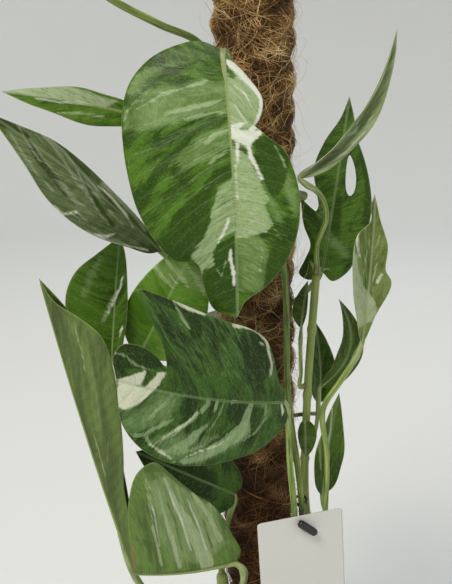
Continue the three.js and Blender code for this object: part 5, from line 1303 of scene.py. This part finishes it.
def leaf_skin(name, deep, green, pale, cream, spread, drawn=1):
    """The skin of a blade: a waxy green cuticle over marbled tissue. spread widens the pale marks by so many
    millimetres, and drawn is how much finer and longer the streaks are."""
    skin, tree, shader = start_material(name, Specular_IOR_Level=0.2)
    vein, tones, edge, rib = [add(tree, "Attribute", attribute_name=layer).outputs["Vector"]
                              for layer in ("vein", "tones", "edge", "rib")]
    across_veins = add(tree, "SeparateXYZ", {0: vein}).outputs[0]
    in_cream, in_pale, in_dark = add(tree, "SeparateXYZ", {0: tones}).outputs[:3]
    from_edge, underside, in_dry = add(tree, "SeparateXYZ", {0: edge}).outputs[:3]
    from_rib, in_wash = add(tree, "SeparateXYZ", {0: rib}).outputs[:2]

    def streaks(kind, slim, stretch, apart, detail, rough, warp):
        """Noise in a kind's size, slimmed and stretched. apart makes it differ from leaf to leaf."""
        scale = (slim / kind["width"], 1 / (stretch * kind["length"]), apart)
        at = add(tree, "VectorMath", {0: vein, 1: scale}, operation="MULTIPLY").outputs[0]
        return add(tree, "TexNoise", {"Vector": at, "Scale": 1, "Detail": detail, "Roughness": rough,
                                      "Distortion": warp}).outputs[0]

    def ragged(field, noise, width, shift=0.0):
        """The depth inside a mark in mm, with the mark's edge broken up by noise over a width."""
        width = width / drawn
        moved = add(tree, "Math", {0: noise, 1: width, 2: shift - width / 2}, operation="MULTIPLY_ADD")
        return add(tree, "Math", {0: field, 1: moved.outputs[0]}, operation="ADD").outputs[0]

    def tinted(base, colour, value, low, high, most=1.0, least=0.0):
        """A colour laid over another by a share that grows softly with a value, from least to most."""
        share = add(tree, "MapRange", {0: value, 1: low, 2: high, 3: least, 4: most},
                    interpolation_type="SMOOTHSTEP").outputs[0]
        return add(tree, "Mix", {0: share, 6: base, 7: colour}, data_type="RGBA").outputs[2]

    cloud = streaks(CLOUD, drawn, drawn, 3.1, 3, 0.55, 0.4)
    streak = streaks(STREAK, drawn, drawn, 7.7, 5, 0.66, 0.7 / drawn)
    fine = streaks(FLECK, 1, drawn, 5.3, 5, 0.68, 0.6 / drawn)
    both = add(tree, "Math", {0: streak, 1: 0.8, 2: cloud}, operation="MULTIPLY_ADD").outputs[0]
    deep, green, pale, cream = linear(deep), linear(green), linear(pale), linear(cream)
    base = tinted(deep, green, both, 0.7, 1.06)
    base = tinted(base, pale, fine, 0.52, 0.78, 0.35)
    # Washes lay a pale grey-green: the leaf's own tone on some leaves, and a painted sheen and painted
    # reflection on others.
    washed = tinted(pale, green, both, 0.72, 1.08, 0.1, 0.6)
    washed = tinted(washed, green, fine, 0.4, 0.62, 0.1, 0.5)
    depth = add(tree, "MapRange", {0: in_wash, 2: 6, 3: 0.4, 4: 0.72}).outputs[0]
    base = tinted(base, washed, ragged(in_wash, streak, 8), -1.6, 1.6, depth)
    # Dark marks lay the deep green of the marbling, and on some leaves painted shade.
    flecked = tinted(deep, green, fine, 0.46, 0.7, 0.4)
    base = tinted(base, flecked, ragged(in_dark, streak, 6), -0.7, 0.7, 0.9)
    marbled = tinted(pale, green, fine, 0.52, 0.34, 0.5)
    marbled = tinted(marbled, cream, streak, 0.5, 0.72, 0.28)
    depth = add(tree, "MapRange", {0: in_pale, 1: -1, 2: 2.5, 3: 0.6, 4: 0.93}).outputs[0]
    base = tinted(base, marbled, ragged(in_pale, streak, 5, spread), -0.6, 0.6, depth)
    chalky = tinted(cream, pale, fine, 0.5, 0.75, 0.4)
    base = tinted(base, chalky, ragged(in_cream, streak, 3), -0.7, 0.9, 0.9)
    speck = streaks(SPECK, 1, 1, 2.3, 2, 0.5, 0.2)
    base = tinted(base, linear("#a5b25c"), speck, 0.57, 0.74, 0.22)
    base = tinted(base, deep, speck, 0.42, 0.3, 0.3)

    phase = add(tree, "Math", {0: across_veins, 1: THICK["vein_spacing"]}, operation="DIVIDE").outputs[0]
    phase = add(tree, "Math", {0: cloud, 1: 0.9, 2: phase}, operation="MULTIPLY_ADD").outputs[0]
    off_vein = add(tree, "Math", {0: phase, 1: 0.5}, operation="PINGPONG").outputs[0]
    inner = add(tree, "MapRange", {0: from_edge, 1: 0.5, 2: 7}).outputs[0]
    line = add(tree, "MapRange", {0: off_vein, 1: 0.01, 2: 0.07, 3: inner, 4: 0}).outputs[0]
    base = tinted(base, pale, line, 0, 1, 0.07)
    base = tinted(base, pale, from_rib, 1.4, 0.5, 0.35)
    base = tinted(base, linear("#a9ad7c"), from_edge, 0.5, 0.1, 0.3)
    base = tinted(base, linear("#7d6338"), ragged(in_dry, streak, 8), -0.8, 0.8, 0.85)
    under = tinted(base, linear("#8c9a66"), cloud, 0.2, 0.8, 0.3, 0.14)
    base = tinted(base, under, underside, 0.4, 0.6)
    tree.links.new(base, shader.inputs["Base Color"])

    sheen = add(tree, "MapRange", {0: cloud, 1: 0.3, 2: 0.7, 3: 0.36, 4: 0.46}).outputs[0]
    rough = add(tree, "Math", {0: underside, 1: 0.14, 2: sheen}, operation="MULTIPLY_ADD").outputs[0]
    tree.links.new(rough, shader.inputs["Roughness"])

    cells = (1 / CELL["width"], 1 / CELL["length"], 1)
    cells = add(tree, "VectorMath", {0: vein, 1: cells}, operation="MULTIPLY").outputs[0]
    cells = add(tree, "TexVoronoi", {"Vector": cells, "Scale": 1}, feature="DISTANCE_TO_EDGE").outputs[0]
    cells = add(tree, "MapRange", {0: cells, 2: 0.25, 4: 0.25}).outputs[0]
    sunk = add(tree, "Math", {0: line, 1: -0.6, 2: cells}, operation="MULTIPLY_ADD").outputs[0]
    relief = add(tree, "Math", {0: fine, 1: 0.4, 2: sunk}, operation="MULTIPLY_ADD").outputs[0]
    bump = add(tree, "Bump", {"Height": relief, "Strength": 0.55, "Distance": 0.45 * MM})
    tree.links.new(bump.outputs[0], shader.inputs["Normal"])
    return skin


# Cuticle: a leathery, half-glossy skin, whose wax gives broad soft lights. Most leaves are mid green, pale
# ones have little chlorophyll, and shaded and deep ones have much. Narrow leaves are streaked in olive or
# grey green; the grey green of the right top leaf is a painted reflection, the haze of a clear sleeve in
# front of it. One that light falls through is painted light green, as painted light through the blade. The
# low and long ones are older and folded, and the low skin's paler marks carry the painted sheen of the low
# front leaf.
SKINS = {
    "leaf": leaf_skin("leathery marbled leaf", "#223f00", "#4b7018", "#96ab7c", "#dbdfd3", -0.3),
    "pale_leaf": leaf_skin("leathery pale leaf", "#4a5d22", "#6f8248", "#a3b08e", "#dde1cf", -0.3),
    "dark_leaf": leaf_skin("leathery shaded leaf", "#223600", "#425c14", "#86966e", "#d4d8c2", -0.3),
    "deep": leaf_skin("leathery deep green leaf", "#142900", "#395e17", "#869f70", "#d3d6bd", 0.2),
    "streaked": leaf_skin("leathery streaked leaf", "#283a10", "#4a5e26", "#8b997a", "#d8d9c6", 0.2, 1.7),
    "grey": leaf_skin("leathery grey-green leaf", "#5f7046", "#8d9c6e", "#b9c4a6", "#e4e7d8", -0.3, 1.5),
    "light": leaf_skin("leathery light green leaf", "#46720f", "#67922c", "#adc488", "#e6ead6", 0.3),
    "low": leaf_skin("leathery low leaf", "#31500c", "#5a7f24", "#b0be98", "#e4e8da", 0.2, 1.3),
    "long": leaf_skin("leathery long leaf", "#263d0b", "#48641a", "#83975a", "#cdd2b4", -0.4, 1.7),
}
# Petiole and midrib: firm and juicy, with a shiny green skin. Darker lines of 1.1 mm run along it, deeper
# green blotches show through it, the knee is paler, and the foot is brown where it is oldest.
STALK = dict(line=1.111, line_length=28.6, blotch=2.5, blotch_length=14.3, mottle=3.85)


def petiole_skin(name, shade, light, blotched, ribbed):
    """A petiole's skin between two greens, with blotches that show through, and the midrib's own green."""
    skin, tree, shader = start_material(name, Specular_IOR_Level=0.45, Roughness=0.34)
    vein, tones = [add(tree, "Attribute", attribute_name=layer).outputs["Vector"]
                   for layer in ("vein", "tones")]
    is_rib, past_knee, from_foot = add(tree, "SeparateXYZ", {0: tones}).outputs[:3]
    lines = (1 / STALK["line_length"], 1 / STALK["line"], 4.7)
    lines = add(tree, "VectorMath", {0: vein, 1: lines}, operation="MULTIPLY").outputs[0]
    lines = add(tree, "TexNoise", {"Vector": lines, "Scale": 1, "Detail": 4}).outputs[0]
    spread = add(tree, "MapRange", {0: lines, 1: 0.32, 2: 0.68}).outputs[0]
    green = add(tree, "Mix", {0: spread, 6: linear(shade), 7: linear(light)}, data_type="RGBA")
    knee = add(tree, "MapRange", {0: past_knee, 1: 3, 2: 12, 3: 0.6, 4: 0}).outputs[0]
    green = add(tree, "Mix", {0: knee, 6: green.outputs[2], 7: linear("#a3ae7e")}, data_type="RGBA")
    blotch = (1 / STALK["blotch_length"], 1 / STALK["blotch"], 2.9)
    blotch = add(tree, "VectorMath", {0: vein, 1: blotch}, operation="MULTIPLY").outputs[0]
    blotch = add(tree, "TexNoise", {"Vector": blotch, "Scale": 1, "Detail": 3}).outputs[0]
    blotch = add(tree, "MapRange", {0: blotch, 1: 0.5, 2: 0.64, 4: 0.6}).outputs[0]
    green = add(tree, "Mix", {0: blotch, 6: green.outputs[2], 7: linear(blotched)}, data_type="RGBA")
    rib = add(tree, "Math", {0: is_rib, 1: 0.75}, operation="MULTIPLY").outputs[0]
    green = add(tree, "Mix", {0: rib, 6: green.outputs[2], 7: linear(ribbed)}, data_type="RGBA")
    place = add(tree, "TexCoord").outputs["Object"]
    mottle = add(tree, "TexNoise", {"Vector": place, "Scale": per_metre(STALK["mottle"]), "Detail": 4})
    foot = add(tree, "Math", {0: mottle.outputs[0], 1: 30, 2: -11}, operation="MULTIPLY_ADD").outputs[0]
    foot = add(tree, "Math", {0: foot, 1: from_foot}, operation="SUBTRACT").outputs[0]
    foot = add(tree, "MapRange", {0: foot, 1: -4, 2: 4, 4: 0.8}).outputs[0]
    is_petiole = add(tree, "Math", {0: 1.0, 1: is_rib}, operation="SUBTRACT").outputs[0]
    foot = add(tree, "Math", {0: foot, 1: is_petiole}, operation="MULTIPLY").outputs[0]
    green = add(tree, "Mix", {0: foot, 6: green.outputs[2], 7: linear("#6f5c36")}, data_type="RGBA")
    tree.links.new(green.outputs[2], shader.inputs["Base Color"])
    bump = add(tree, "Bump", {"Height": lines, "Strength": 0.45, "Distance": 0.4 * MM})
    tree.links.new(bump.outputs[0], shader.inputs["Normal"])
    return skin


STALKS = {
    "green": petiole_skin("ribbed green petiole", "#56711e", "#a8b86a", "#3f5714", "#8fa05e"),
    "dark": petiole_skin("ribbed dark petiole", "#3d5516", "#84963f", "#2a3f0d", "#8fa05e"),
    "deep_ribbed": petiole_skin("petiole with a deep green rib", "#56711e", "#a8b86a", "#3f5714", "#3f5a26"),
    "olive_ribbed": petiole_skin("petiole with an olive rib", "#56711e", "#a8b86a", "#3f5714", "#55663c"),
}

for number, (name, leaf) in enumerate(LEAVES.items()):
    parts = [blade_parts(leaf, MARKS.get(name, []), number)] + stalk_parts(leaf, number)
    on_stalk = np.repeat([0, 1, 1], [len(part[1]) for part in parts])
    points, faces, vein, tones, edge, rib = joined(parts)
    layers = {"vein": vein, "tones": tones, "edge": edge, "rib": rib}
    skins = [SKINS[leaf.get("skin", leaf["slot"])], STALKS[leaf.get("stalk", "green")]]
    make_piece(name + "_blade", points, faces, skins, leaf["slot"], [name], layers, on_stalk)

# Hang tag: a blank card of white clay-coated board, die cut with rounded corners and one punched hole.
# It hangs in front of the petioles on its loop, turned a little to the right, and is hardly bowed.
CARD = dict(width=61, height=90, thickness=0.45, corner=2.2, hole=1.8, inset=5, yaw=15, roll=4, bow=1.1)
CARD_PLACE = (26.3, -58.5, 262)
CARD_RAYS, CORNER_RAYS = 96, np.linspace(-0.06, 0.06, 9)
BOARD = dict(pulp=1.43, cloud=35.7)


def card_frame(points):
    """Points of the flat card, turned and moved to where it hangs."""
    x, y, z = np.moveaxis(np.asarray(points, float), -1, 0)
    x, z = turned(x, z, math.radians(CARD["roll"]))
    x, y = turned(x, y, math.radians(CARD["yaw"]))
    return np.stack([x, y, z], -1) + CARD_PLACE


# Board: a soft white coat, a little dull and uneven, which shows the grey core at the cut edge. Its white is
# painted down to a light grey all over, as painted shade. Its pulp's fibres are too fine to show, so its
# tooth is drawn 1.4 mm across.
board, tree, shader = start_material("clay-coated board", Roughness=0.5, Specular_IOR_Level=0.45)
place = add(tree, "TexCoord").outputs["Object"]
pulp = add(tree, "TexNoise", {"Vector": place, "Scale": per_metre(BOARD["pulp"]), "Detail": 5,
                              "Roughness": 0.7}).outputs[0]
cloud = add(tree, "TexNoise", {"Vector": place, "Scale": per_metre(BOARD["cloud"]), "Detail": 3}).outputs[0]
tint = add(tree, "Mix", {0: cloud, 6: linear("#c9c9c4"), 7: linear("#d1d1cc")}, data_type="RGBA")
side = add(tree, "Attribute", attribute_name="cut").outputs["Vector"]
side = add(tree, "SeparateXYZ", {0: side}).outputs["X"]
side = add(tree, "MapRange", {0: side, 1: 0, 2: 0.5, 3: 0.5, 4: 0}).outputs[0]
tint = add(tree, "Mix", {0: side, 6: tint.outputs[2], 7: linear("#a5a29a")}, data_type="RGBA")
tree.links.new(tint.outputs[2], shader.inputs["Base Color"])
bump = add(tree, "Bump", {"Height": pulp, "Strength": 0.18, "Distance": 0.2 * MM})
tree.links.new(bump.outputs[0], shader.inputs["Normal"])

half = np.array([CARD["width"] / 2, CARD["height"] / 2])
hole_centre = np.array([0, half[1] - CARD["inset"]])


def card_edge(start, way):
    """Where a ray from a point meets the card's outline, with its corners rounded."""
    reach = np.full(len(way), 1e9)
    for axis in (0, 1):
        for sign in (-1, 1):
            with np.errstate(divide="ignore"):
                length = (sign * half[axis] - start[axis]) / way[:, axis]
            reach = np.where(length > 0, np.minimum(reach, length), reach)
    spot = start + way * reach[:, None]
    core = np.clip(spot, -half + CARD["corner"], half - CARD["corner"])
    beyond = np.minimum(np.linalg.norm(spot - core, axis=1), CARD["corner"])
    return core + unit(spot - core) * beyond[:, None]


corner_ways = [[sx * half[0], sy * half[1]] - hole_centre for sx in (-1, 1) for sy in (-1, 1)]
near = np.concatenate([math.atan2(way[1], way[0]) + CORNER_RAYS for way in corner_ways])
turn = 2 * math.pi * np.arange(CARD_RAYS) / CARD_RAYS
turn = np.sort(np.concatenate([turn, near % (2 * math.pi)]))
direction = np.stack([np.cos(turn), np.sin(turn)], -1)
outline = card_edge(hole_centre, direction)
hole_edge = hole_centre + direction * CARD["hole"]
shares = [0, 0.012, 0.05, 0.12, 0.25, 0.4, 0.55, 0.7, 0.85, 0.96, 1]
flat = np.stack([hole_edge + (outline - hole_edge) * share for share in shares])
bow = CARD["bow"] * ((flat[..., 1] - half[1]) / CARD["height"]) ** 2
front = np.stack([flat[..., 0], bow, flat[..., 1] - half[1]], -1)
back = front + [0, CARD["thickness"], 0]
points = card_frame(np.concatenate([front, back[::-1]]).reshape(-1, 3))
faces = ring_faces(2 * len(shares), len(turn), closed=True)
cut = np.minimum(np.abs(flat - outline).max(-1), np.abs(flat - hole_edge).max(-1))
cut = one_value(np.concatenate([cut, cut[::-1]]).ravel())
make_piece("hang_card", points, faces, [board], "card", ["label_card"], {"cut": cut})

# Tag loop: one moulding of black polypropylene, a thin round thread with a bar at its end. The thread goes
# through the card's hole and round the petiole, and the bar stops it.
LOOP = dict(radius=0.9, sides=12, bar_radius=2.8, bar_straight=11, bar_sides=24, bar_end_rings=7,
            bar_turn=132, bar_place=(4, -3.4, -8.4), peel=1.11)
THREAD = [[0.8, -3.2, -5.2], [0, -1.6, -4.4], [0, 0.6, -4.2], [2.4, 2, -2.5], [2.6, 6, 2.5], [1, 10.8, 5],
          [2.6, 15.2, 6], [7.2, 15.2, 6.4], [8.8, 11, 6], [7, 7.4, 5]]

# Black polypropylene: even and satin, with the slight orange peel of a small moulding, in dips of 1.1 mm.
black_plastic, tree, shader = start_material("black moulded polypropylene", Specular_IOR_Level=0.5)
place = add(tree, "TexCoord").outputs["Object"]
peel = add(tree, "TexNoise", {"Vector": place, "Scale": per_metre(LOOP["peel"]), "Detail": 2}).outputs[0]
black = add(tree, "Mix", {0: peel, 6: linear("#151515"), 7: linear("#232222")}, data_type="RGBA")
tree.links.new(black.outputs[2], shader.inputs["Base Color"])
gloss = add(tree, "MapRange", {0: peel, 3: 0.3, 4: 0.42}).outputs[0]
tree.links.new(gloss, shader.inputs["Roughness"])
bump = add(tree, "Bump", {"Height": peel, "Strength": 0.2, "Distance": 0.2 * MM})
tree.links.new(bump.outputs[0], shader.inputs["Normal"])

thread = spline(THREAD, np.linspace(0, 1, 160))
turn = math.radians(LOOP["bar_turn"])
axis = np.array([math.sin(turn), 0, math.cos(turn)])
end = LOOP["bar_end_rings"]
reach = np.sin(np.linspace(-math.pi / 2, math.pi / 2, 2 * end + 1)) * LOOP["bar_radius"]
width = np.sqrt(np.maximum(LOOP["bar_radius"] ** 2 - reach**2, (0.02 * LOOP["bar_radius"]) ** 2))
run = np.concatenate([reach[:end + 1] - LOOP["bar_straight"] / 2, reach[end:] + LOOP["bar_straight"] / 2])
bar = np.array(LOOP["bar_place"]) + run[:, None] * axis
parts = [tube(thread, np.full(len(thread), LOOP["radius"]), LOOP["sides"], (1, 0, 0)),
         tube(bar, np.concatenate([width[:end + 1], width[end:]]), LOOP["bar_sides"], (0, 1, 0))]
points, faces, _ = joined(parts)
make_piece("tag_loop", card_frame(points), faces, [black_plastic], "black_plastic", ["label_loop"])

# Set: a seamless pale paper floor that sweeps up to a wall all round, wide soft lights, and the camera. It is
# 0.7 m away and looks down by 15 degrees. Lights and camera are placed in metres.
FLOOR = -0.5
SWEEP = dict(steps=(0, 200, 600, 1200, 1800), flat=2200, radius=900, top=1800, sides=96)
PAPER_TOOTH = 2.5
LIGHTS = {
    "key light": dict(place=(-0.9, -1.3, 2.2), size=1.1, power=39.5, warmth="#fff8ec"),
    "fill light": dict(place=(1.8, -1.3, 0.9), size=1.8, power=6.6, warmth="#fbfbff"),
    "rim light": dict(place=(0.5, 1.7, 2.0), size=1.4, power=13.2, warmth="#ffffff"),
}
LIGHTS_AIM = (0, 0, 0.38)
ROOM = dict(colour="#e8ecee", strength=0.376)
CAMERA = dict(place=(-0.024, -0.67615, 0.58517), pitch=75, sensor=36, focal_pixels=1000, picture_pixels=584)

# Paper: matt and even, a cool light grey. Its tooth is too fine to show, so it is drawn 2.5 mm across.
paper, tree, shader = start_material("matt background paper", Roughness=0.95, Specular_IOR_Level=0.2)
place = add(tree, "TexCoord").outputs["Object"]
tooth = add(tree, "TexNoise", {"Vector": place, "Scale": per_metre(PAPER_TOOTH), "Detail": 3}).outputs[0]
grey = add(tree, "Mix", {0: tooth, 6: linear("#eceeed"), 7: linear("#f1f2f1")}, data_type="RGBA")
tree.links.new(grey.outputs[2], shader.inputs["Base Color"])

sweep = [(radius, FLOOR) for radius in SWEEP["steps"]]
sweep += arc((SWEEP["flat"], SWEEP["radius"] + FLOOR), SWEEP["radius"], -90, 0, 24)
sweep += [(SWEEP["flat"] + SWEEP["radius"], SWEEP["top"])]
sweep_points, sweep_faces = lathed(sweep, SWEEP["sides"])
sweep_mesh = bpy.data.meshes.new("paper_floor")
sweep_mesh.from_pydata(sweep_points * MM, [], [face[::-1] for face in sweep_faces.tolist()])
sweep_mesh.polygons.foreach_set("use_smooth", np.ones(len(sweep_mesh.polygons), bool))
sweep_mesh.materials.append(paper)
floor = bpy.data.objects.new("paper_floor", sweep_mesh)
bpy.context.scene.collection.objects.link(floor)

for name, light in LIGHTS.items():
    lamp = bpy.data.lights.new(name, "AREA")
    lamp.shape = "DISK"
    lamp.size = light["size"]
    lamp.energy = light["power"]
    lamp.color = linear(light["warmth"])[:3]
    holder = bpy.data.objects.new(name, lamp)
    holder.location = light["place"]
    aim = mathutils.Vector(LIGHTS_AIM) - mathutils.Vector(light["place"])
    holder.rotation_euler = aim.to_track_quat("-Z", "Y").to_euler()
    bpy.context.scene.collection.objects.link(holder)

world = bpy.data.worlds.new("soft room")
world.use_nodes = True
world.node_tree.nodes["Background"].inputs["Color"].default_value = linear(ROOM["colour"])
world.node_tree.nodes["Background"].inputs["Strength"].default_value = ROOM["strength"]
bpy.context.scene.world = world
bpy.context.scene.view_settings.view_transform = "Standard"

lens = bpy.data.cameras.new("photo camera")
lens.sensor_width = CAMERA["sensor"]
lens.lens = CAMERA["sensor"] * CAMERA["focal_pixels"] / CAMERA["picture_pixels"]
camera = bpy.data.objects.new("photo camera", lens)
camera.location = CAMERA["place"]
camera.rotation_euler = (math.radians(CAMERA["pitch"]), 0, 0)
bpy.context.scene.collection.objects.link(camera)
bpy.context.scene.camera = camera
